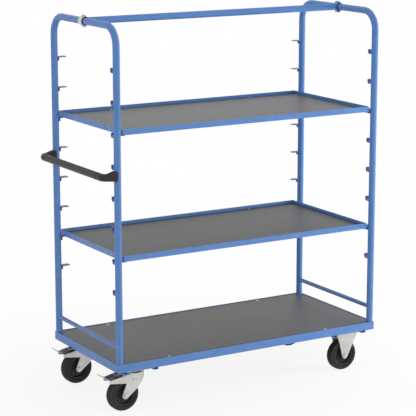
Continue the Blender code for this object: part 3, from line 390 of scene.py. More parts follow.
@dataclass(frozen=True)
class GreyBoard:
    """Grey film-faced board: fine grain pressed along the trolley, scuffs, flecks, painted shade over a broad
    band towards its sides, and a narrow painted shadow at them.
    """

    slot: str = "grey_board"
    colour: Colour = srgb(107, 107, 107)
    dark: Colour = srgb(105, 105, 105)
    scuff: Colour = srgb(112, 112, 111)
    # Painted shadow: the dark colour of the narrow band along each board's sides.
    edge_shadow: Colour = srgb(42, 38, 36)
    # Painted shade: the darker grey that each board fades to over a broad band towards its sides.
    border_shade: Colour = srgb(92, 92, 92)
    specular: float = 0.35
    pressed: Grain = Grain(24.0, 6.0, stretch=(1.0, 14.0, 14.0))
    pressed_bump: Pair = (0.00003, 0.35)
    mesh_scale: float = 420.0
    cloud: Grain = Grain(2.2, 3.0, 0.35, 0.65, 0.2, 0.8)
    fleck: Grain = Grain(210.0, 3.0, 0.66, 0.72, 0.0, 0.4)
    scuffs: Grain = Grain(7.0, 5.0, 0.66, 0.74, 0.0, 0.25, (1.0, 5.0, 1.0))
    roughness: Grain = Grain(38.0, 5.0, least=0.46, most=0.50)
    # Width and share of the painted shade band towards the sides.
    border_shade_width: float = 0.22
    border_shade_share: float = 0.75
    # Width, end speed, sharpness and patches of the painted shadow band along the sides.
    edge_shadow_width: float = 0.022
    edge_shadow_ends: float = 1.8
    edge_shadow_power: float = 0.7
    edge_shadow_patches: Grain = Grain(30.0, 4.0, 0.3, 0.6, 0.8, 1.0)
    core: Colour = srgb(84, 70, 56)
    ply: Colour = srgb(58, 50, 44)
    seal: Colour = srgb(52, 50, 48)
    edge_specular: float = 0.3
    ply_scale: float = 140.0
    ply_distortion: float = 0.8
    ply_share: float = 0.6
    ply_bump: Pair = (0.0002, 0.5)
    sealing: Grain = Grain(40.0, least=0.3, most=0.7)
    edge_roughness: Grain = Grain(60.0, 3.0, least=0.6, most=0.8)

    def material(self, node: str) -> Material:
        """Makes the film face of one board.

        Args:
            node: the board's node.

        Returns:
            The material.
        """
        mix = Recipe(f"{self.slot}_{node}", specular=self.specular)
        pressed = mix.noise(self.pressed)
        colour = mix.mix(mix.span(pressed, self.pressed.low, self.pressed.high), self.dark, self.colour)
        for grain, tone in ((self.cloud, self.colour), (self.fleck, self.dark), (self.scuffs, self.scuff)):
            colour = mix.mix(grain, colour, tone)
        # Painted shade: the board grows darker over a broad band towards its sides.
        around = mix.border(*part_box(node), self.border_shade_width)
        colour = mix.mix(mix.sums("MULTIPLY", around, self.border_shade_share), colour, self.border_shade)
        # Painted shadow: a narrow dark band along the board's sides, darkest at the edge where the rails and
        # rim meet it.
        side = mix.border(*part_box(node), self.edge_shadow_width, self.edge_shadow_ends)
        side = mix.sums("MULTIPLY", mix.sums("POWER", side, self.edge_shadow_power), self.edge_shadow_patches)
        colour = mix.mix(side, colour, self.edge_shadow)
        mesh = mix.bump(mix.cells(self.mesh_scale), *self.pressed_bump)
        return mix.finish(colour, self.roughness, mix.bump(pressed, *self.pressed_bump, mesh))

    def edge(self) -> Material:
        """Makes the sawn edge: thin plies under a dark seal.

        Returns:
            The material.
        """
        mix = Recipe(self.slot + "_edge", specular=self.edge_specular)
        inputs = {"Vector": mix.place, "Scale": self.ply_scale, "Distortion": self.ply_distortion}
        plies = mix.add("ShaderNodeTexWave", inputs, "Fac", bands_direction="Z")
        colour = mix.mix(mix.span(plies, 0.3, 0.7, 0.0, self.ply_share), self.core, self.ply)
        colour = mix.mix(self.sealing, colour, self.seal)
        return mix.finish(colour, self.edge_roughness, mix.bump(plies, *self.ply_bump))


@dataclass(frozen=True)
class ZincPlate:
    """Bright zinc plate: small spangle, faint drawn lines, and duller stains in random patches."""

    slot: str = "zinc"
    colour: Colour = srgb(216, 215, 210)
    cloudy: Colour = srgb(198, 197, 193)
    stain: Colour = srgb(176, 171, 158)
    metallic: float = 0.75
    spangle_scale: float = 240.0
    spangle_stretch: Point = (1.0, 1.0, 0.7)
    spangle_share: float = 0.07
    spangle_bump: Pair = (0.00003, 0.3)
    clouds: Grain = Grain(22.0)
    stains: Grain = Grain(34.0, 6.0, 0.62, 0.78, 0.0, 0.12)
    roughness: Grain = Grain(90.0, least=0.34, most=0.48, stretch=(1.0, 1.0, 6.0))
    drawn: Relief = Relief(160.0, 3.0, 0.00005, 0.3, (1.0, 1.0, 0.08))

    def material(self) -> Material:
        """Makes the plate.

        Returns:
            The material.
        """
        mix = Recipe(self.slot, self.metallic)
        spangle = mix.cells(self.spangle_scale, self.spangle_stretch)
        colour = mix.mix(self.clouds, self.cloudy, self.colour)
        colour = mix.mix(self.spangle_share, colour, spangle, "OVERLAY")
        colour = mix.mix(self.stains, colour, self.stain)
        normal = mix.bump(spangle, *self.spangle_bump, mix.relief(self.drawn))
        return mix.finish(colour, self.roughness, normal)


@dataclass(frozen=True)
class MouldedPlastic:
    """Moulded plastic: a fine eroded grain, slightly polished where hands and floor touch it."""

    slot: str
    colour: Colour
    polished: Colour
    specular: float = 0.45
    drift: Grain = Grain(11.0, 4.0, 0.35, 0.7, 0.0, 0.35)
    edge_share: float = 0.45
    roughness: Grain = Grain(70.0, least=0.42, most=0.56)
    flow: Relief = Relief(30.0, 2.0, 0.0003, 0.25)
    pores: Relief = Relief(900.0, 2.0, 0.0001, 0.6)

    def material(self) -> Material:
        """Makes the plastic.

        Returns:
            The material.
        """
        mix = Recipe(self.slot, specular=self.specular)
        colour = mix.mix(self.drift, self.colour, self.polished)
        colour = mix.mix(mix.edges(self.edge_share), colour, self.polished)
        return mix.finish(colour, self.roughness, mix.relief(self.pores, mix.relief(self.flow)))


@dataclass(frozen=True)
class Rubber:
    """Rubber: matt, mottled, with pale dust in random patches."""

    slot: str
    colour: Colour
    worn: Colour
    dust_share: float = 0.3
    dust: Colour = srgb(112, 108, 100)
    specular: float = 0.3
    mottle: Grain = Grain(46.0, 6.0, 0.35, 0.7, 0.0, 0.5)
    dusting: Grain = Grain(85.0, 5.0, 0.6, 0.78)
    roughness: Grain = Grain(120.0, 3.0, least=0.62, most=0.82)
    skin: Relief = Relief(700.0, 3.0, 0.0001, 0.5)
    swell: Relief = Relief(60.0, 3.0, 0.0003, 0.2)

    def material(self) -> Material:
        """Makes the rubber.

        Returns:
            The material.
        """
        mix = Recipe(self.slot, specular=self.specular)
        colour = mix.mix(self.mottle, self.colour, self.worn)
        colour = mix.mix(replace(self.dusting, most=self.dust_share), colour, self.dust)
        return mix.finish(colour, self.roughness, mix.relief(self.swell, mix.relief(self.skin)))


@dataclass(frozen=True)
class BrakeSteel:
    """Blued sheet steel of the brake: scratched to bare metal where shoes press it."""

    slot: str = "dark_steel"
    colour: Colour = srgb(62, 64, 76)
    other: Colour = srgb(74, 78, 96)
    mark: Colour = srgb(176, 174, 168)
    metallic: float = 0.5
    specular: float = 0.5
    drift: Grain = Grain(30.0)
    marks: Grain = Grain(60.0, 4.0, 0.68, 0.74, 0.0, 0.5, (0.3, 6.0, 1.0))
    edge_share: float = 0.0
    roughness: Grain = Grain(80.0, least=0.36, most=0.5)
    mark_bump: Pair = (0.00005, 0.5)
    pits: Relief | None = None

    def material(self) -> Material:
        """Makes the steel.

        Returns:
            The material.
        """
        mix = Recipe(self.slot, self.metallic, self.specular)
        colour = mix.mix(self.drift, self.colour, self.other)
        marks = shown = mix.grain(self.marks)
        if self.edge_share:
            shown = mix.sums("MAXIMUM", marks, mix.edges(self.edge_share))
        normal = mix.relief(self.pits) if self.pits else mix.bump(marks, *self.mark_bump)
        return mix.finish(mix.mix(shown, colour, self.mark), self.roughness, normal)


class Finishes:
    """All finishes of the trolley, each made once."""

    plate = BrakeSteel(
        slot="dark_steel_plate",
        colour=srgb(112, 112, 116),
        other=srgb(128, 128, 131),
        mark=srgb(120, 122, 130),
        metallic=0.6,
        drift=Grain(40.0, 4.0, 0.35, 0.65),
        marks=Grain(70.0, 4.0, 0.62, 0.72, 0.0, 0.6, (0.3, 5.0, 1.0)),
        roughness=Grain(90.0, least=0.30, most=0.42),
        mark_bump=(0.00004, 0.4),
    )
    well = BrakeSteel(
        slot="dark_steel_well",
        colour=srgb(44, 45, 50),
        other=srgb(60, 61, 66),
        mark=srgb(96, 94, 88),
        metallic=0.3,
        specular=0.4,
        drift=Grain(45.0),
        marks=Grain(140.0, 3.0, 0.6, 0.72, 0.0, 0.3),
        roughness=Grain(80.0, least=0.5, most=0.66),
        pits=Relief(180.0, 3.0, 0.00005, 0.4),
    )
    lip = BrakeSteel(
        slot="dark_steel_lip",
        colour=BrakeSteel.mark,
        other=srgb(208, 206, 200),
        mark=BrakeSteel.other,
        drift=Grain(55.0, 5.0, 0.35, 0.65),
        marks=Grain(90.0, 4.0, 0.6, 0.7, 0.0, 0.5),
        roughness=Grain(80.0, least=0.32, most=0.46),
        pits=Relief(200.0, 3.0, 0.00005, 0.4),
    )

    def __init__(self) -> None:
        """Makes the materials."""
        self.board = GreyBoard()
        self.by_slot = {
            "blue_paint": PowderPaint().material(),
            "zinc": ZincPlate().material(),
            "black_plastic": MouldedPlastic("black_plastic", srgb(26, 26, 26), srgb(36, 36, 36)).material(),
            "rim_plastic": MouldedPlastic("rim_plastic", srgb(42, 42, 42), srgb(54, 54, 54)).material(),
            "tyre_rubber": Rubber("tyre_rubber", srgb(50, 50, 50), srgb(62, 62, 61)).material(),
            "clamp_rubber": Rubber("clamp_rubber", srgb(30, 31, 40), srgb(46, 47, 56), 0.1).material(),
            "dark_steel": BrakeSteel(edge_share=0.5).material(),
        }
        self.board_edge = self.board.edge()
        collar = ZincPlate("pedal_collar", srgb(236, 235, 228), srgb(222, 221, 214), metallic=0.1)
        self.pedal = [steel.material() for steel in (self.plate, self.lip, collar, self.well)]
        self.hook_painted_shade = PowderPaint().hook_painted_shade()
        self.tread = Rubber("tyre_tread", srgb(27, 27, 27), srgb(44, 43, 42), 0.2).material()
        parts = frame["record"]["subparts"]
        self.slot_of = {part["node"]: part["material_slot"] for part in parts}


class Bench:
    """Hand work on single objects with Blender's own tools."""

    cap_steps: tuple[Pair, ...] = ((0.22, 0.24), (0.26, 0.18), (0.16, 0.06), (0.06, -0.16))
    head_steps: tuple[Pair, ...] = ((0.14, 0.1), (0.12, -0.05))
    tip_step: Pair = (0.2, 0.15)
    washer_reach: float = 1.16
    washer_height: float = 0.0012
    ripple: Pair = (0.015, 22)

    @staticmethod
    def take(item: Item) -> None:
        """Makes one object the only selected one, and the active one."""
        bpy.ops.object.select_all(action="DESELECT")
        item.select_set(True)
        bpy.context.view_layer.objects.active = item

    @staticmethod
    def start(name: str, primitive: Callable, **sizes: object) -> Item:
        """Adds a primitive with nothing else selected, and puts its place and turn into its mesh.

        Args:
            name: the object's name.
            primitive: the operator that adds it.
            **sizes: the operator's settings.

        Returns:
            The object.
        """
        bpy.ops.object.select_all(action="DESELECT")
        primitive(**sizes)
        item = bpy.context.object
        item.name = item.data.name = name
        Bench.take(item)
        bpy.ops.object.transform_apply(location=True, rotation=True, scale=True)
        return item

    @staticmethod
    @contextmanager
    def editing(item: Item, kind: Element = Element.FACE) -> Iterator[None]:
        """Opens an object in edit mode with nothing selected, and closes it again.

        Args:
            item: the object.
            kind: what is selected.

        Yields:
            Nothing.
        """
        Bench.take(item)
        bpy.ops.object.mode_set(mode="EDIT")
        bpy.ops.mesh.select_mode(type=kind.value)
        bpy.ops.mesh.select_all(action="DESELECT")
        yield
        bpy.ops.object.mode_set(mode="OBJECT")

    @staticmethod
    def pick_faces(item: Item, test: FaceTest) -> None:
        """Selects faces in edit mode.

        Args:
            item: the object in edit mode.
            test: takes a face's middle and normal, and says whether it is wanted.
        """
        shape = bmesh.from_edit_mesh(item.data)
        for face in shape.faces:
            face.select_set(test(face.calc_center_median(), face.normal))
        bmesh.update_edit_mesh(item.data)

    @staticmethod
    def mend(weld: bool = True) -> None:
        """Turns all faces outwards in edit mode.

        Args:
            weld: whether doubles are merged first.
        """
        bpy.ops.mesh.select_all(action="SELECT")
        if weld:
            bpy.ops.mesh.remove_doubles(threshold=WELD)
        bpy.ops.mesh.normals_make_consistent(inside=False)

    @staticmethod
    def smooth(item: Item, angle: float = 35.0) -> None:
        """Shades an object smooth, but for edges sharper than an angle in degrees."""
        Bench.take(item)
        bpy.ops.object.shade_smooth_by_angle(angle=math.radians(angle))

    @staticmethod
    def bevelled(item: Item, width: float, segments: int = 2, angle: float = 35.0) -> None:
        """Rounds an object's sharp edges and shades it smooth.

        Args:
            item: the object.
            width: width of the rounding.
            segments: steps across it.
            angle: edges sharper than this many degrees are rounded.
        """
        Bench.take(item)
        tool = item.modifiers.new("round", "BEVEL")
        tool.width = width
        tool.segments = segments
        tool.limit_method = "ANGLE"
        tool.angle_limit = math.radians(angle)
        tool.use_clamp_overlap = True
        bpy.ops.object.modifier_apply(modifier=tool.name)
        weigh = item.modifiers.new("weigh", "WEIGHTED_NORMAL")
        weigh.keep_sharp = True
        bpy.ops.object.shade_smooth_by_angle(angle=math.radians(angle))
        bpy.ops.object.modifier_apply(modifier=weigh.name)

    @staticmethod
    def grooved(item: Item, along: Vector, place: float, width: float, depth: float) -> None:
        """Cuts a narrow groove round an object.

        Args:
            item: the object.
            along: the axis that the groove goes round, a unit vector.
            place: where its middle lies along that axis.
            width: its width.
            depth: its depth.
        """
        with Bench.editing(item):
            for share in (-0.5, -0.3, 0.3, 0.5):
                bpy.ops.mesh.select_all(action="SELECT")
                bpy.ops.mesh.bisect(plane_co=along * (place + share * width), plane_no=along)
            Bench.pick_faces(item, lambda middle, normal: abs(middle.dot(along) - place) < 0.25 * width)
            bpy.ops.transform.shrink_fatten(value=-depth)

    @staticmethod
    def post(
        sides: int,
        radius: float,
        base: Vector,
        facing: Vector,
        height: float,
        soft: float,
        steps: Sequence[Pair] = (),
    ) -> Item:
        """A straight post with softened edges, whose end face is stepped by insets.

        Args:
            sides: its sides.
            radius: radius over its corners.
            base: middle of its seat.
            facing: the way it looks, a unit vector.
            height: its height without the steps.
            soft: width of its softened edges.
            steps: how far each inset goes inwards and outwards.

        Returns:
            The post.
        """
        item = Bench.start(
            "post",
            bpy.ops.mesh.primitive_cylinder_add,
            vertices=sides,
            radius=radius,
            depth=height,
            location=base + facing * height / 2,
            rotation=facing.to_track_quat("Z", "Y").to_euler(),
        )
        with Bench.editing(item):
            Bench.pick_faces(item, lambda middle, normal: normal.dot(facing) > 0.9)
            for inwards, outwards in steps:
                bpy.ops.mesh.inset(thickness=inwards, depth=outwards)
        Bench.bevelled(item, soft, 1, 30.0)
        return item

    @staticmethod
    def cap(radius: float, height: float, base: Vector, facing: Vector) -> Item:
        """A low domed screw or rivet head with a recess: its radius and height, seat and the way it looks."""
        steps = [(radius * inwards, height * rise) for inwards, rise in Bench.cap_steps]
        return Bench.post(24, radius, base, facing, height / 2, radius * 0.04, steps)

    @staticmethod
    def hexagon(radius: float, height: float, base: Vector, facing: Vector) -> Item:
        """A hexagon head with a chamfered, slightly dished end, on a thin washer.

        Args:
            radius: radius over the corners.
            height: height with the washer.
            base: middle of its seat.
            facing: the way it looks, a unit vector.

        Returns:
            The head.
        """
        washer = min(height * 0.2, Bench.washer_height)
        soft = radius * 0.03
        disc = Bench.post(32, radius * Bench.washer_reach, base, facing, washer, soft)
        steps = [(radius * inwards, height * rise) for inwards, rise in Bench.head_steps]
        head = Bench.post(6, radius, base + facing * washer, facing, height * 0.9 - washer, soft, steps)
        return Bench.joined([disc, head], "head")

    @staticmethod
    def stub(radius: float, base: Vector, facing: Vector, length: float) -> Item:
        """A round bolt end with a chamfered tip: its radius, hidden end, direction and length."""
        steps = [(radius * Bench.tip_step[0], radius * Bench.tip_step[1])]
        return Bench.post(20, radius, base, facing, length, radius * 0.05, steps)

    @staticmethod
    def bead(pipe: float, run: float, size: float, centre: Vector, along: Vector, across: Vector) -> Item:
        """A weld bead where one tube ends square on the side of another.

        Args:
            pipe: radius of the tube that carries the other.
            run: radius of the tube that ends on it.
            size: radius of the bead.
            centre: where the two tubes' axes meet.
            along: the way the ending tube leaves, a unit vector.
            across: the way square to both axes, a unit vector.

        Returns:
            The bead.
        """
        item = Bench.start(
            "bead",
            bpy.ops.mesh.primitive_torus_add,
            major_radius=run,
            minor_radius=size,
            major_segments=48,
            minor_segments=8,
            location=(0, 0, 0),
        )
        third = along.cross(across)
        height, waves = Bench.ripple
        for vertex in item.data.vertices:
            x, y, z = vertex.co
            ripple = 1 + height * math.sin(waves * math.atan2(y, x))
            saddle = math.sqrt(max(pipe**2 - x**2, 0.0))
            vertex.co = centre + (across * x + third * y) * ripple + along * (z + saddle)
        with Bench.editing(item):
            Bench.mend(weld=False)
        Bench.take(item)
        bpy.ops.object.shade_smooth()
        return item

    @staticmethod
    def spun(name: str, profile: Sequence[Pair], centre: Vector, axis: Vector, steps: int) -> Item:
        """A ring turned from a closed profile.

        Args:
            name: the object's name.
            profile: distance from the axis and place along it, point by point.
            centre: middle of the ring.
            axis: its axis.
            steps: steps round it.

        Returns:
            The ring.
        """
        item = Bench.start(
            name, bpy.ops.mesh.primitive_circle_add, vertices=len(profile), radius=0.01, location=(0, 0, 0)
        )
        for vertex, (reach, along) in zip(item.data.vertices, profile):
            vertex.co = centre + RIGHT * reach + axis * along
        with Bench.editing(item, Element.EDGE):
            bpy.ops.mesh.select_all(action="SELECT")
            bpy.ops.mesh.spin(steps=steps, angle=math.tau, center=centre, axis=axis)
            Bench.mend()
        Bench.smooth(item)
        return item

    @staticmethod
    def copied(item: Item, name: str, place: Matrix) -> Item:
        """A copy with its own mesh, its place put into the mesh.

        Args:
            item: the model.
            name: the copy's name.
            place: where the copy goes, from the model's place.

        Returns:
            The copy.
        """
        Bench.take(item)
        bpy.ops.object.duplicate()
        copy = bpy.context.object
        copy.name = copy.data.name = name
        copy.data.transform(place)
        return copy

    @staticmethod
    def joined(items: Sequence[Item], name: str) -> Item:
        """Joins objects into one.

        Args:
            items: the objects.
            name: the name of the joined one.

        Returns:
            The joined object.
        """
        Bench.take(items[0])
        for item in items[1:]:
            item.select_set(True)
        bpy.ops.object.join()
        items[0].name = items[0].data.name = name
        return items[0]

    @staticmethod
    def repeated(model: Item, places: Sequence[Matrix], name: str) -> Item:
        """Copies a model to each place, removes it and joins the copies.

        Args:
            model: the model.
            places: where the copies go, from the model's place.
            name: the name of the joined copies.

        Returns:
            The joined copies.
        """
        copies = [Bench.copied(model, "copy", place) for place in places]
        bpy.data.objects.remove(model)
        return Bench.joined(copies, name)


class Dresser:
    """Gives nodes and pieces their finish, and hangs pieces on the bodies."""

    flat_angle: float = 0.4

    def __init__(self, finishes: Finishes) -> None:
        """Keeps the finishes."""
        self.finishes = finishes

    def hang(self, item: Item, like: str, slot: str | None = None, stands_for: bool = False) -> None:
        """Hangs a finished piece on the body of a node.

        Args:
            item: the piece.
            like: the node whose body it rides on.
            slot: its material slot, or the node's own.
            stands_for: whether it takes the node's place.
        """
        slot = slot or self.finishes.slot_of[like]
        if not item.data.materials or item.data.materials[0] is None:
            item.data.materials.clear()
            item.data.materials.append(self.finishes.by_slot[slot])
        if stands_for:
            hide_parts(like)
        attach(item, frame["nodes"][like]["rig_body"])
        log.info("%s rides with %s, %d faces", item.name, like, len(item.data.polygons))

    def softened(self, node: str, width: float) -> Item:
        """A copy of a node with merged faces and rounded edges, which stands for it.

        Args:
            node: the CAD node.
            width: width of the rounding.

        Returns:
            The piece, not yet hung.
        """
        item = bpy.data.objects.new(f"{node}_dressed", frame["nodes"][node].data.copy())
        bpy.context.scene.collection.objects.link(item)
        Bench.take(item)
        bpy.ops.mesh.customdata_custom_splitnormals_clear()
        with Bench.editing(item):
            bpy.ops.mesh.select_all(action="SELECT")
            bpy.ops.mesh.remove_doubles(threshold=WELD)
            bpy.ops.mesh.dissolve_limited(angle_limit=math.radians(self.flat_angle))
        Bench.bevelled(item, width)
        item.data.materials.clear()
        return item

    def dress(self, node: str, width: float) -> None:
        """Softens a node and hangs the piece in its place."""
        self.hang(self.softened(node, width), node, stands_for=True)

    def dress_board(self, node: str, width: float) -> None:
        """Softens a board and gives it its film faces and sawn edges.

        Args:
            node: the board's node.
            width: width of the rounding.
        """
        item = self.softened(node, width)
        item.data.materials.append(self.finishes.board.material(node))
        item.data.materials.append(self.finishes.board_edge)
        for face in item.data.polygons:
            face.material_index = 0 if abs(face.normal.z) > 0.5 else 1
        self.hang(item, node, stands_for=True)


@dataclass(frozen=True)
class Lamp:
    """A soft square lamp: where it hangs, what it points at, its side and its power in watts."""

    name: str
    place: Point
    aim: Point
    size: float
    power: float


@dataclass
class Studio:
    """Pale floor, white surroundings, soft lamps and the photograph's camera."""

    camera_place: Point = (-4.203344, -7.039514, 2.625349)
    camera_azimuth: float = 30.7814
    camera_elevation: float = 11.6144
    camera_lens: float = 144.4167
    camera_sensor: float = 36.0
    camera_shift: float = -0.03
    camera_range: Pair = (0.1, 80.0)
    floor_reach: float = 9.0
    floor_drop: float = 0.0004
    floor_tone: float = 0.92
    floor_roughness: float = 0.9
    floor_specular: float = 0.1
    floor_fade: Pair = (0.7, 2.2)
    floor_white: float = 0.87
    horizon: float = 0.80
    zenith: float = 0.46
    sky_span: Pair = (0.05, 0.9)
    lamps: tuple[Lamp, ...] = (
        Lamp("key_lamp", (3.8, -1.9, 1.3), (0.4, 0, 0.9), 1.8, 128.0),
        Lamp("fill_lamp", (-4.5, -2.5, 2.2), (0, 0, 0.9), 3.0, 30.0),
        Lamp("top_lamp", (0.6, 0.4, 4.8), (0.3, 0, 1.0), 2.5, 20.0),
    )

    def place_camera(self) -> None:
        """Sets up the camera where the photograph was taken from."""
        data = bpy.data.cameras.new("camera")
        data.sensor_width = self.camera_sensor
        data.lens = self.camera_lens
        data.shift_y = self.camera_shift
        data.clip_start, data.clip_end = self.camera_range
        camera = bpy.data.objects.new("camera", data)
        camera.location = self.camera_place
        tilt = math.radians(90 - self.camera_elevation)
        camera.rotation_euler = (tilt, 0, -math.radians(self.camera_azimuth))
        bpy.context.scene.collection.objects.link(camera)
        bpy.context.scene.camera = camera

    def lay_floor(self) -> None:
        """Lays the floor: pale, keeps the shadow, and fades to white away from the trolley."""
        floor = Bench.start(
            "studio_floor",
            bpy.ops.mesh.primitive_circle_add,
            vertices=64,
            radius=self.floor_reach,
            fill_type="NGON",
            location=(0, 0, -self.floor_drop),
        )
        material = bpy.data.materials.new("studio_floor")
        material.use_nodes = True
        bench = NodeBench(material.node_tree)
        shader = bench.tree.nodes["Principled BSDF"]
        shader.inputs["Base Color"].default_value = (self.floor_tone, self.floor_tone, self.floor_tone, 1.0)
        shader.inputs["Roughness"].default_value = self.floor_roughness
        shader.inputs["Specular IOR Level"].default_value = self.floor_specular
        place = bench.add("ShaderNodeTexCoord", {}, "Object")
        reach = bench.add("ShaderNodeVectorMath", {0: place}, "Value", operation="LENGTH")
        fade = bench.span(reach, *self.floor_fade, self.floor_white)
        white = bench.add("ShaderNodeEmission", {})
        bench.veil(shader.outputs[0], white, bench.tree.nodes["Material Output"], fade)
        floor.data.materials.append(material)

    def fill_world(self) -> None:
        """White to the camera, to gloss and through glass, and a soft even light to the rest."""
        world = bpy.data.worlds.new("studio")
        world.use_nodes = True
        bench = NodeBench(world.node_tree)
        soft = bench.tree.nodes["Background"]
        place = bench.add("ShaderNodeTexCoord", {}, "Generated")
        rise = bench.add("ShaderNodeSeparateXYZ", {0: place}, "Z")
        bench.feed(soft.inputs["Color"], WHITE)
        bench.feed(soft.inputs["Strength"], bench.span(rise, *self.sky_span, self.horizon, self.zenith))
        white = bench.add("ShaderNodeBackground", {"Color": WHITE})
        bench.veil(soft.outputs[0], white, bench.tree.nodes["World Output"])
        bpy.context.scene.world = world

    def hang_lamps(self) -> None:
        """Hangs the lamps, which light the trolley and don't show in its gloss."""
        for plan in self.lamps:
            data = bpy.data.lights.new(plan.name, "AREA")
            data.size = plan.size
            data.energy = plan.power
            lamp = bpy.data.objects.new(plan.name, data)
            lamp.location = plan.place
            lamp.rotation_euler = (Vector(plan.aim) - Vector(plan.place)).to_track_quat("-Z", "Y").to_euler()
            lamp.visible_glossy = False
            bpy.context.scene.collection.objects.link(lamp)

    def build(self) -> None:
        """Sets up the whole studio."""
        bpy.context.scene.view_settings.view_transform = "Standard"
        self.place_camera()
        self.lay_floor()
        self.fill_world()
        self.hang_lamps()
        log.info("studio ready")


@dataclass
class BaseFrame:
    """Rolled rim, caster channels, deck board and its screws."""

    dresser: Dresser
    rim_edge: float = 0.0012
    sheet_edge: float = 0.0008
    screw_edge: float = 0.0005
    hole_pitch: Pair = (0.105, 0.080)
    plate_thickness: float = 0.004
    sheet_top: float = 0.209
    bolt_corner: float = 0.0073
    bolt_head: float = 0.0045
    bolt_radius: float = 0.0038
    nut_height: float = 0.0065
    bolt_spare: float = 0.0030

    def bolt_casters(self) -> None:
        """Puts four hexagon bolts with nuts through each caster's plate and sheets."""
        long, wide = self.hole_pitch
        shifts = [(x, y, 0) for x in (-long / 2, long / 2) for y in (-wide / 2, wide / 2)]
        for name in (f"{side.value}_{depth.value}" for side in Side for depth in Depth):
            plate = f"{name}_fork" if name.startswith(Side.RIGHT.value) else f"{name}_caster_plate"
            seat = middle_of(plate)
            seat.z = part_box(plate)[1].z - self.plate_thickness
            nut_seat = Vector((seat.x, seat.y, self.sheet_top))
            parts = [
                Bench.hexagon(self.bolt_corner, self.bolt_head, seat, -UP),
                Bench.stub(self.bolt_radius, seat, UP, self.plate_thickness),
                Bench.hexagon(self.bolt_corner, self.nut_height, nut_seat, UP),
                Bench.stub(self.bolt_radius, nut_seat, UP, self.nut_height + self.bolt_spare),
            ]
            places = [Matrix.Translation(shift) for shift in shifts]
            bolts = Bench.repeated(Bench.joined(parts, "bolt"), places, f"{name}_caster_bolts")
            self.dresser.hang(bolts, "deck_screw_1", "zinc")

    def build(self) -> None:
        """Makes the whole base."""
        self.dresser.dress("base_rim", self.rim_edge)
        for side in Side:
            self.dresser.dress(f"{side.value}_caster_frame", self.sheet_edge)
        self.dresser.dress_board("deck_board", self.sheet_edge)
        for count in range(1, 5):
            self.dresser.dress(f"deck_screw_{count}", self.screw_edge)
        self.bolt_casters()


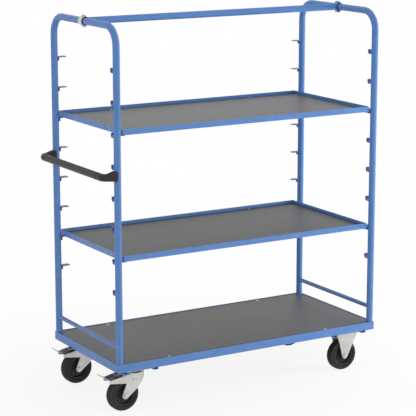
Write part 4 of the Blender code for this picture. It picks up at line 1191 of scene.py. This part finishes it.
@dataclass
class EndFrames:
    """Two bent tube ends with hooks, rungs, the top rail and its clamps."""

    dresser: Dresser
    tube_radius: float = 0.01685
    rung_radius: float = 0.0105
    shell_radius: float = 0.02195
    frame_edge: float = 0.0006
    part_edges: Edges = (
        ("rung", 0.0005),
        ("rail_clamp", 0.0006),
        ("clamp_liner", 0.0004),
        ("clamp_bolt_upper", 0.0005),
        ("clamp_bolt_lower", 0.0005),
    )
    bend_start: float = 1.75
    hook_stand_off: float = 0.0008
    lowest_hook: float = 0.600
    hook_pitch: float = 0.150
    hook_count: int = 8
    bead_size: float = 0.0017
    bead_rounding: float = 0.4
    bead_angle: float = 50.0
    rear_bead_length: float = 0.0144
    rear_bead_drop: float = 0.0108
    rear_bead_sink: float = 0.0022
    rear_bead_reach: float = 0.0088
    front_bead_half: float = 0.0090
    front_bead_drop: float = 0.0128
    front_bead_gap: float = 0.0003

    def post_x(self, side: Side) -> float:
        """The posts' axis along the trolley."""
        return middle_of(f"{side.value}_rung").x

    def post_y(self, depth: Depth) -> float:
        """The posts' axis across the trolley."""
        low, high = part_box("left_end_frame")
        return low.y + self.tube_radius if depth is Depth.FRONT else high.y - self.tube_radius

    def weld(self, node: str, ends: Sequence[End], pipe: float, run: float, across: Vector) -> None:
        """Runs a bead round both ends of a tube.

        Args:
            node: the tube's node.
            ends: at each end, where the axes of the tubes meet, and the way inwards.
            pipe: radius of the tubes that carry it.
            run: its own radius.
            across: the way square to both axes, a unit vector.
        """
        beads = [Bench.bead(pipe, run, self.bead_size, centre, inwards, across) for centre, inwards in ends]
        self.dresser.hang(Bench.joined(beads, f"{node}_beads"), node)

    def weld_rungs(self) -> None:
        """Runs a bead round both ends of each rung."""
        for side in Side:
            node = f"{side.value}_rung"
            x, height = self.post_x(side), middle_of(node).z
            front, rear = (Vector((x, self.post_y(depth), height)) for depth in Depth)
            self.weld(node, ((front, BACK), (rear, -BACK)), self.tube_radius, self.rung_radius, RIGHT)

    def weld_rail(self) -> None:
        """Runs a bead round both ends of the top rail, on its half shells."""
        middle = middle_of("top_rail")
        left, right = (Vector((self.post_x(side), middle.y, middle.z)) for side in Side)
        self.weld("top_rail", ((left, RIGHT), (right, -RIGHT)), self.shell_radius, self.tube_radius, UP)

    def rear_bead(self, x: float, y: float) -> Item:
        """An upright bead behind the lowest rear strip.

        Args:
            x: where it stands along the trolley.
            y: where it stands across it.

        Returns:
            The bead.
        """
        bead = Bench.start(
            "bead",
            bpy.ops.mesh.primitive_cylinder_add,
            vertices=10,
            radius=self.bead_size,
            depth=self.rear_bead_length,
            location=(x, y, self.lowest_hook - self.rear_bead_drop),
        )
        with Bench.editing(bead):
            bpy.ops.mesh.select_all(action="SELECT")
            bpy.ops.mesh.subdivide(number_cuts=5)
        Bench.bevelled(bead, self.bead_size * self.bead_rounding, 2, self.bead_angle)
        return bead

    def front_bead(self, x: float, y: float) -> Item:
        """A bead along one side of a front post, under its lowest strap.

        Args:
            x: the post's axis along the trolley.
            y: the post's axis across it.

        Returns:
            The bead.
        """
        bead = Bench.start(
            "bead",
            bpy.ops.mesh.primitive_torus_add,
            major_radius=self.tube_radius + self.front_bead_gap,
            minor_radius=self.bead_size,
            major_segments=64,
            minor_segments=8,
            location=(x, y, self.lowest_hook - self.front_bead_drop),
        )
        cuts = (
            ((x - self.front_bead_half, 0, 0), (-1, 0, 0)),
            ((x + self.front_bead_half, 0, 0), (1, 0, 0)),
            ((0, y, 0), (0, -1, 0)),
        )
        with Bench.editing(bead):
            for place, away in cuts:
                bpy.ops.mesh.select_all(action="SELECT")
                bpy.ops.mesh.bisect(plane_co=place, plane_no=away, use_fill=True, clear_outer=True)
            Bench.mend(weld=False)
        Bench.smooth(bead, self.bead_angle)
        return bead

    def weld_hooks(self) -> None:
        """Runs beads along the hooks: two upright ones behind each rear strip, one under each front strap."""
        rises = [count * self.hook_pitch for count in range(self.hook_count)]
        fronts = [Matrix.Translation((0, 0, rise)) for rise in rises]
        seams = (-self.rear_bead_reach, self.rear_bead_reach)
        rears = [Matrix.Translation((0, seam, rise)) for rise in rises for seam in seams]
        for side, inwards in ((Side.LEFT, 1), (Side.RIGHT, -1)):
            x = self.post_x(side)
            wall = x + inwards * (self.tube_radius - self.rear_bead_sink)
            rear = self.rear_bead(wall, self.post_y(Depth.REAR))
            front = self.front_bead(x, self.post_y(Depth.FRONT))
            for model, places, row in ((rear, rears, "rear"), (front, fronts, "front")):
                beads = Bench.repeated(model, places, f"{side.value}_{row}_hook_beads")
                self.dresser.hang(beads, f"{side.value}_end_frame")

    def dress_frame(self, side: Side) -> None:
        """Dresses an end frame, with painted shade on the upright faces of its hooks.

        Args:
            side: the frame's end of the trolley.
        """
        node = f"{side.value}_end_frame"
        item = self.dresser.softened(node, self.frame_edge)
        item.data.materials.append(self.dresser.finishes.by_slot["blue_paint"])
        item.data.materials.append(self.dresser.finishes.hook_painted_shade)
        x = self.post_x(side)
        posts = [self.post_y(depth) for depth in Depth]
        for face in item.data.polygons:
            middle = face.center
            out = min(math.hypot(middle.x - x, middle.y - y) for y in posts)
            hooked = out > self.tube_radius + self.hook_stand_off and middle.z < self.bend_start
            # Painted shade: the hooks' upright faces take the darker material.
            face.material_index = 1 if hooked and abs(face.normal.z) < 0.5 else 0
        self.dresser.hang(item, node, stands_for=True)

    def build(self) -> None:
        """Makes both ends."""
        for side in Side:
            self.dress_frame(side)
            for part, width in self.part_edges:
                self.dresser.dress(f"{side.value}_{part}", width)
        self.dresser.dress("top_rail", self.frame_edge)
        self.weld_rungs()
        self.weld_rail()
        self.weld_hooks()


@dataclass
class TrayShelf:
    """One lift-off tray shelf."""

    dresser: Dresser
    name: str
    frame_edge: float = 0.0008
    board_edge: float = 0.0005
    rivet_spacing: float = 0.822
    rivet_inset: float = 0.008
    rivet_radius: float = 0.0048
    rivet_height: float = 0.0030

    def build(self) -> None:
        """Makes the shelf, with four bright rivets through the board into the ledge, near the long rails."""
        board = f"{self.name}_shelf_board"
        self.dresser.dress(f"{self.name}_shelf_frame", self.frame_edge)
        self.dresser.dress_board(board, self.board_edge)
        low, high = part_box(board)
        middle = (low.x + high.x) / 2
        rivets = []
        for x in (middle - self.rivet_spacing / 2, middle + self.rivet_spacing / 2):
            for y in (low.y + self.rivet_inset, high.y - self.rivet_inset):
                rivets.append(Bench.cap(self.rivet_radius, self.rivet_height, Vector((x, y, high.z)), UP))
        self.dresser.hang(Bench.joined(rivets, f"{self.name}_shelf_rivets"), board, "zinc")


@dataclass(frozen=True)
class Station:
    """One loop of the handle's foot: share of the way, reach up, down and sideways, and squareness."""

    share: float
    top: float
    bottom: float
    half: float
    square: float

    def placed(self, place: Vector, middle: Vector) -> Vector:
        """Moves a corner straight out or in to the loop.

        Args:
            place: the corner.
            middle: the foot's axis.

        Returns:
            The corner on the loop.
        """
        turn = math.atan2(place.z - middle.z, place.y - middle.y)
        across, up = math.cos(turn), math.sin(turn)
        rise = self.top if up > 0 else self.bottom
        reach = (abs(across / self.half) ** self.square + abs(up / rise) ** self.square) ** (-1 / self.square)
        return Vector((place.x, middle.y + across * reach, middle.z + up * reach))


@dataclass
class PushHandle:
    """Plastic sleeve between two moulded elbows, whose flared feet saddle the posts."""

    dresser: Dresser
    radius: float = 0.0178
    sides: int = 32
    elbow_radius: float = 0.024
    elbow_steps: int = 8
    hidden_end: float = 0.004
    seam_from_post: float = 0.0468
    seam_half: float = 0.0025
    seam_edge: float = 0.0010
    seam_depth: float = 0.0024
    post_radius: float = 0.01715
    post_cut: float = 0.2
    stations: tuple[Station, ...] = (
        Station(0.0, 0.0182, 0.0182, 0.0176, 2.0),
        Station(0.15, 0.0195, 0.0184, 0.0177, 3.0),
        Station(0.40, 0.0225, 0.0192, 0.0177, 5.0),
        Station(0.75, 0.0268, 0.0205, 0.0177, 8.0),
        Station(1.0, 0.0268, 0.0205, 0.0177, 9.0),
    )
    foot_overlap: float = 0.0035
    foot_short: float = 0.0050
    foot_lip: float = 0.0165
    foot_edge: float = 0.0009
    foot_angle: float = 40.0
    groove_width: float = 0.0016
    groove_depth: float = 0.0006
    screw_radius: float = 0.0042
    screw_height: float = 0.0020
    screw_from_post: float = 0.030
    screw_seat: float = 0.0190

    def measure(self) -> tuple[Vector, Vector, Vector]:
        """Measures where the handle sits.

        Returns:
            The front and the rear post's axis at the handle's height, and the sleeve's axis.
        """
        height = middle_of("handle_grip").z
        feet = [f"handle_foot_{depth.value}" for depth in Depth]
        front, rear = (Vector((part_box(foot)[1].x, middle_of(foot).y, height)) for foot in feet)
        return front, rear, Vector((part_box("handle_grip")[0].x + self.radius, 0, height))

    def push_end(self, step: Vector, scale: float = 1.0, middle: Vector | None = None) -> None:
        """Pulls the selected end loop on.

        Args:
            step: how far.
            scale: how it shrinks or grows round its middle.
            middle: the loop's middle after the step.
        """
        bpy.ops.mesh.extrude_region_move(TRANSFORM_OT_translate={"value": step})
        if scale != 1.0:
            bpy.ops.transform.resize(value=(scale, 1.0, scale), center_override=middle)

    def bend(self, centre: Point) -> None:
        """Sweeps the selected end loop a quarter turn round an upright axis through a centre."""
        bpy.ops.mesh.spin(steps=self.elbow_steps, angle=math.pi / 2, center=centre, axis=UP)

    def close_end(self, item: Item, sign: int) -> None:
        """Fills one of the sleeve's open ends.

        Args:
            item: the sleeve in edit mode.
            sign: 1 for the rear end, -1 for the front one.
        """
        bpy.ops.mesh.select_all(action="DESELECT")
        bpy.ops.mesh.select_non_manifold(extend=False)
        shape = bmesh.from_edit_mesh(item.data)
        for edge in shape.edges:
            if edge.select and edge.verts[0].co.y * sign < 0:
                edge.select_set(False)
        bmesh.update_edit_mesh(item.data)
        bpy.ops.mesh.edge_face_add()

    def sleeve(self) -> None:
        """Pulls the sleeve and its elbows from one round loop, with a seam near each elbow."""
        front, rear, grip = self.measure()
        bend_x = grip.x + self.elbow_radius
        item = Bench.start(
            "handle_grip_dressed",
            bpy.ops.mesh.primitive_circle_add,
            vertices=self.sides,
            radius=self.radius,
            location=(bend_x + self.hidden_end, front.y, front.z),
            rotation=(0, math.pi / 2, 0),
        )
        thin = 1 - self.seam_depth / self.radius
        y, last = front.y + self.elbow_radius, rear.y - self.elbow_radius
        with Bench.editing(item, Element.EDGE):
            bpy.ops.mesh.select_all(action="SELECT")
            self.push_end(Vector((-self.hidden_end, 0, 0)))
            self.bend((bend_x, y, front.z))
            for seam in (front.y + self.seam_from_post, rear.y - self.seam_from_post):
                for off, scale in (
                    (-self.seam_half, 1.0),
                    (self.seam_edge - self.seam_half, thin),
                    (self.seam_half - self.seam_edge, 1.0),
                    (self.seam_half, 1 / thin),
                ):
                    self.push_end(Vector((0, seam + off - y, 0)), scale, Vector((grip.x, seam + off, grip.z)))
                    y = seam + off
            self.push_end(Vector((0, last - y, 0)))
            self.bend((bend_x, last, front.z))
            self.push_end(Vector((self.hidden_end, 0, 0)))
            for sign in (-1, 1):
                self.close_end(item, sign)
            Bench.mend()
        Bench.smooth(item)
        self.dresser.hang(item, "handle_grip", stands_for=True)

    def foot(self) -> Item:
        """Pulls the front foot from the elbow's round loop to a square saddle, and cuts the post's hollow.

        Returns:
            The foot.
        """
        front, _, grip = self.measure()
        x = grip.x + self.elbow_radius - self.foot_overlap
        run = front.x - self.foot_short - x
        item = Bench.start(
            "handle_foot",
            bpy.ops.mesh.primitive_circle_add,
            vertices=2 * self.sides,
            radius=self.radius,
            fill_type="NGON",
            location=(x, front.y, front.z),
            rotation=(0, math.pi / 2, 0),
        )
        reached = 0.0
        with Bench.editing(item, Element.VERTEX):
            bpy.ops.mesh.select_all(action="SELECT")
            for station in self.stations:
                if station.share > reached:
                    self.push_end(Vector(((station.share - reached) * run, 0, 0)))
                    reached = station.share
                shape = bmesh.from_edit_mesh(item.data)
                for corner in shape.verts:
                    if corner.select:
                        corner.co = station.placed(corner.co, front)
                bmesh.update_edit_mesh(item.data)
            Bench.mend(weld=False)
        hollow = Bench.start(
            "hollow",
            bpy.ops.mesh.primitive_cylinder_add,
            vertices=64,
            radius=self.post_radius,
            depth=self.post_cut,
            location=front,
        )
        Bench.take(item)
        tool = item.modifiers.new("hollow", "BOOLEAN")
        tool.operation = "DIFFERENCE"
        tool.solver = "EXACT"
        tool.object = hollow
        bpy.ops.object.modifier_apply(modifier=tool.name)
        bpy.data.objects.remove(hollow)
        Bench.grooved(item, RIGHT, front.x - self.foot_lip, self.groove_width, self.groove_depth)
        Bench.bevelled(item, self.foot_edge, 2, self.foot_angle)
        return item

    def build(self) -> None:
        """Makes the handle: sleeve, both feet and their screws."""
        self.sleeve()
        front, rear, _ = self.measure()
        model = self.foot()
        for depth, post in zip(Depth, (front, rear)):
            node = f"handle_foot_{depth.value}"
            foot = Bench.copied(model, f"{node}_dressed", Matrix.Translation(post - front))
            self.dresser.hang(foot, node, stands_for=True)
        bpy.data.objects.remove(model)
        seat, down = Vector((self.screw_from_post, 0, self.screw_seat)), Vector((0, 0, -1))
        screws = [Bench.cap(self.screw_radius, self.screw_height, post - seat, down) for post in (front, rear)]
        self.dresser.hang(Bench.joined(screws, "handle_screws"), "handle_grip", "zinc")


@dataclass
class Wheel:
    """Ringed rubber tyre on a ribbed moulded rim."""

    dresser: Dresser
    name: str
    rim_edge: float = 0.0008
    rib_count: int = 12
    rib_thickness: float = 0.0026
    rib_start: float = 0.0165
    rib_end: float = 0.0495
    rib_low: float = 0.0040
    rib_high: float = 0.0095
    rib_slope: float = 0.0025
    rib_crest: Pair = (0.00052, 0.0003)
    rib_edge: float = 0.0004
    head_corner: float = 0.0102
    head_height: float = 0.0060
    axle_radius: float = 0.0058
    steps: int = 96
    tyre_height: float = 0.024
    shoulder: float = 0.0138
    shoulder_steps: int = 8
    shoulder_inset: float = 0.0001
    wall_share: float = 0.62
    wall: tuple[Pair, ...] = (
        (0.0, 0.0030),
        (0.0010, 0.0008),
        (0.0022, 0.0002),
        (0.0035, 0.0002),
        (0.0042, 0.0012),
        (0.0052, 0.0012),
        (0.0059, 0.0002),
        (0.0082, 0.0003),
        (0.0088, 0.0012),
        (0.0097, 0.0014),
    )

    def ribs(self) -> None:
        """Puts ribs between hub and rim, on both sides of the web."""
        node = f"{self.name}_wheel_rim"
        centre = middle_of(node)
        height = (self.rib_start + self.rib_end) / 2
        ribs = []
        for sign in (-1, 1):
            model = Bench.start(
                "rib",
                bpy.ops.mesh.primitive_cube_add,
                size=1.0,
                location=centre + Vector((0, sign * (self.rib_low + self.rib_high) / 2, height)),
                scale=(self.rib_thickness, self.rib_high - self.rib_low, self.rib_end - self.rib_start),
            )
            with Bench.editing(model):
                Bench.pick_faces(model, lambda middle, normal: normal.z > 0.9)
                bpy.ops.transform.translate(value=(0, -sign * self.rib_slope, 0))
                Bench.pick_faces(model, lambda middle, normal: normal.y * sign > 0.6)
                bpy.ops.mesh.inset(thickness=self.rib_crest[0], depth=self.rib_crest[1])
            Bench.bevelled(model, self.rib_edge, 1)
            places = []
            for count in range(self.rib_count):
                turn = Matrix.Rotation((count + 0.5) * math.tau / self.rib_count, 4, "Y")
                places.append(Matrix.Translation(centre) @ turn @ Matrix.Translation(-centre))
            ribs.append(Bench.repeated(model, places, "ribs"))
        self.dresser.hang(Bench.joined(ribs, f"{self.name}_rim_ribs"), node)

    def axle(self) -> None:
        """Makes the axle bolt with its hexagon head, and the nut on its other end."""
        bolt, nut = f"{self.name}_axle_bolt", f"{self.name}_axle_nut"
        low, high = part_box(bolt)
        nut_low, nut_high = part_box(nut)
        seat, nut_seat = middle_of(bolt), middle_of(bolt)
        seat.y = low.y + self.head_height
        nut_seat.y = nut_low.y
        length = high.y - self.axle_radius * Bench.tip_step[1] - seat.y
        head = Bench.hexagon(self.head_corner, self.head_height, seat, -BACK)
        shank = Bench.stub(self.axle_radius, seat, BACK, length)
        self.dresser.hang(Bench.joined([head, shank], f"{bolt}_dressed"), bolt, stands_for=True)
        item = Bench.hexagon(self.head_corner, nut_high.y - nut_low.y, nut_seat, BACK)
        item.name = item.data.name = f"{nut}_dressed"
        self.dresser.hang(item, nut, stands_for=True)

    def tyre(self) -> None:
        """Turns the tyre, with shallow rings on each wall."""
        node = f"{self.name}_tyre"
        low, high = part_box(node)
        radius, half = (high.z - low.z) / 2, (high.y - low.y) / 2
        profile = [(radius - self.tyre_height + rise, half - inset) for rise, inset in self.wall]
        for count in range(self.shoulder_steps + 1):
            turn = count * math.pi / 2 / self.shoulder_steps
            reach = radius - self.shoulder * (1 - math.sin(turn))
            profile.append((reach, half - self.shoulder * (1 - math.cos(turn)) - self.shoulder_inset))
        profile += [(reach, -along) for reach, along in reversed(profile)]
        item = Bench.spun(f"{node}_dressed", profile, middle_of(node), BACK, self.steps)
        item.data.materials.append(self.dresser.finishes.by_slot["tyre_rubber"])
        item.data.materials.append(self.dresser.finishes.tread)
        for face in item.data.polygons:
            face.material_index = 0 if abs(face.normal.y) > self.wall_share else 1
        self.dresser.hang(item, node, stands_for=True)

    def build(self) -> None:
        """Makes the wheel and its axle."""
        self.tyre()
        self.dresser.dress(f"{self.name}_wheel_rim", self.rim_edge)
        self.ribs()
        self.axle()


@dataclass
class SwivelCaster:
    """Braked swivel caster of the handle end."""

    dresser: Dresser
    depth: Depth
    edges_above: Edges = (("caster_plate", 0.0008), ("kingpin", 0.0006), ("fork", 0.0008))
    edges_below: Edges = (("pedal_pin", 0.0004), ("brake_shoe", 0.0006))
    valley: Pair = (0.078, -0.0145)
    flat: float = 0.006
    tip: Pair = (0.120, 0.007)
    thickness: float = 0.003
    barrel: float = 0.0055
    bore: float = 0.0032
    barrel_steps: int = 32
    collar_reach: Pair = (0.0135, 0.0375)
    collar_half: float = 0.0205
    collar_width: float = 0.0034
    collar_height: float = 0.0016
    collar_slack: float = 0.0004
    pedal_edge: float = 0.0005
    shank_from_pin: float = 0.030
    shank_wall: Pair = (0.0008, 0.0045)
    shank_ends: Pair = (-0.0078, -0.0038)
    shank_steps: int = 24

    def tube(self, centre: Vector, axis: Vector, wall: Pair, ends: Pair, steps: int) -> Item:
        """A straight tube.

        Args:
            centre: a place on its axis.
            axis: its axis.
            wall: its inner and outer radius.
            ends: where it starts and ends along the axis, from the centre.
            steps: steps round it.

        Returns:
            The tube.
        """
        (inner, outer), (start, end) = wall, ends
        profile = [(inner, start), (outer, start), (outer, end), (inner, end)]
        return Bench.spun("tube", profile, centre, axis, steps)

    def pedal(self) -> None:
        """Folds the pedal from one plate, with a raised bright collar round a sunken dark floor."""
        node = f"left_{self.depth.value}_brake_pedal"
        low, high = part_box(node)
        pin = middle_of(f"left_{self.depth.value}_pedal_pin")
        pin.y = (low.y + high.y) / 2
        width = high.y - low.y
        root = pin + Vector((-self.barrel / 2, 0, self.barrel / 2))
        fold = pin + Vector((-self.valley[0], 0, self.valley[1]))
        middle = (root + fold) / 2
        length = (fold - root).length
        slope = (fold - root).normalized()
        up = Vector((slope.z, 0, -slope.x))
        opening = root + slope * ((root.x - pin.x + sum(self.collar_reach) / 2) / -slope.x)
        long_half = (self.collar_reach[1] - self.collar_reach[0]) / 2 / -slope.x

        def within(place: Vector, margin: float) -> bool:
            """Says whether a place lies inside the collar's outline, grown by a margin."""
            off = place - opening
            return abs(off.dot(slope)) < long_half + margin and abs(off.y) < self.collar_half + margin

        item = Bench.start(f"{node}_plate", bpy.ops.mesh.primitive_plane_add, size=width, location=middle)
        with Bench.editing(item, Element.EDGE):
            bpy.ops.mesh.select_all(action="SELECT")
            bpy.ops.transform.resize(value=(length / width, 1.0, 1.0), center_override=middle)
            tilt = math.atan2(slope.z, -slope.x)
            bpy.ops.transform.rotate(value=-tilt, orient_axis="Y", center_override=middle)
            bpy.ops.mesh.select_all(action="DESELECT")
            shape = bmesh.from_edit_mesh(item.data)
            for edge in shape.edges:
                edge.select_set(all(corner.co.x < middle.x for corner in edge.verts))
            bmesh.update_edit_mesh(item.data)
            bpy.ops.mesh.extrude_region_move(TRANSFORM_OT_translate={"value": (-self.flat, 0, 0)})
            rise = Vector((self.valley[0] + self.flat - self.tip[0], 0, self.tip[1] - self.valley[1]))
            bpy.ops.mesh.extrude_region_move(TRANSFORM_OT_translate={"value": rise})
        with Bench.editing(item):
            Bench.mend()
            Bench.pick_faces(item, lambda place, normal: place.x > fold.x)
            bpy.ops.mesh.inset(thickness=self.collar_width)
            along = long_half / (length / 2 - self.collar_width)
            across = self.collar_half / (width / 2 - self.collar_width)
            bpy.ops.transform.translate(value=opening - middle)
            bpy.ops.transform.resize(value=(along, across, along), center_override=opening)
            bpy.ops.mesh.inset(thickness=self.collar_width)
        Bench.take(item)
        solid = item.modifiers.new("solid", "SOLIDIFY")
        solid.thickness = self.thickness
        solid.offset = 0.0
        solid.use_even_offset = True
        bpy.ops.object.modifier_apply(modifier=solid.name)
        with Bench.editing(item):
            Bench.mend(weld=False)
            Bench.pick_faces(
                item,
                lambda place, normal: normal.dot(up) > 0.9
                and within(place, 0.0)
                and not within(place, -self.collar_width),
            )
            raise_by = {"value": self.collar_height}
            bpy.ops.mesh.extrude_region_shrink_fatten(TRANSFORM_OT_shrink_fatten=raise_by)
        Bench.bevelled(item, self.pedal_edge, 2, 30.0)
        for material in self.dresser.finishes.pedal:
            item.data.materials.append(material)
        for face in item.data.polygons:
            above = (face.center - opening).dot(up) > (self.thickness - self.collar_height) / 2
            if face.normal.dot(up) > 0.9 and within(face.center, -self.collar_width - self.collar_slack):
                face.material_index = 3
            elif above and within(face.center, self.collar_slack):
                face.material_index = 2
            else:
                face.material_index = int(face.center.x < fold.x - self.flat)
        barrel = self.tube(pin, BACK, (self.bore, self.barrel), (-width / 2, width / 2), self.barrel_steps)
        stem = pin - RIGHT * self.shank_from_pin
        shank = self.tube(stem, UP, self.shank_wall, self.shank_ends, self.shank_steps)
        self.dresser.hang(item, node, stands_for=True)
        self.dresser.hang(Bench.joined([barrel, shank], f"{node}_barrel"), node)

    def build(self) -> None:
        """Makes the caster."""
        name = f"left_{self.depth.value}"
        for part, width in self.edges_above:
            self.dresser.dress(f"{name}_{part}", width)
        self.pedal()
        for part, width in self.edges_below:
            self.dresser.dress(f"{name}_{part}", width)
        Wheel(self.dresser, name).build()


@dataclass
class FixedCaster:
    """Fixed caster of the far end."""

    dresser: Dresser
    depth: Depth
    fork_edge: float = 0.0008

    def build(self) -> None:
        """Makes the caster."""
        name = f"right_{self.depth.value}"
        self.dresser.dress(f"{name}_fork", self.fork_edge)
        Wheel(self.dresser, name).build()


def main() -> None:
    """Builds the studio and the trolley, piece by piece."""
    logging.basicConfig(level=logging.INFO, format="%(message)s")
    Studio().build()
    dresser = Dresser(Finishes())
    BaseFrame(dresser).build()
    EndFrames(dresser).build()
    for name in ("upper", "lower"):
        TrayShelf(dresser, name).build()
    PushHandle(dresser).build()
    for depth in Depth:
        SwivelCaster(dresser, depth).build()
        FixedCaster(dresser, depth).build()


if __name__ == "__main__":
    main()
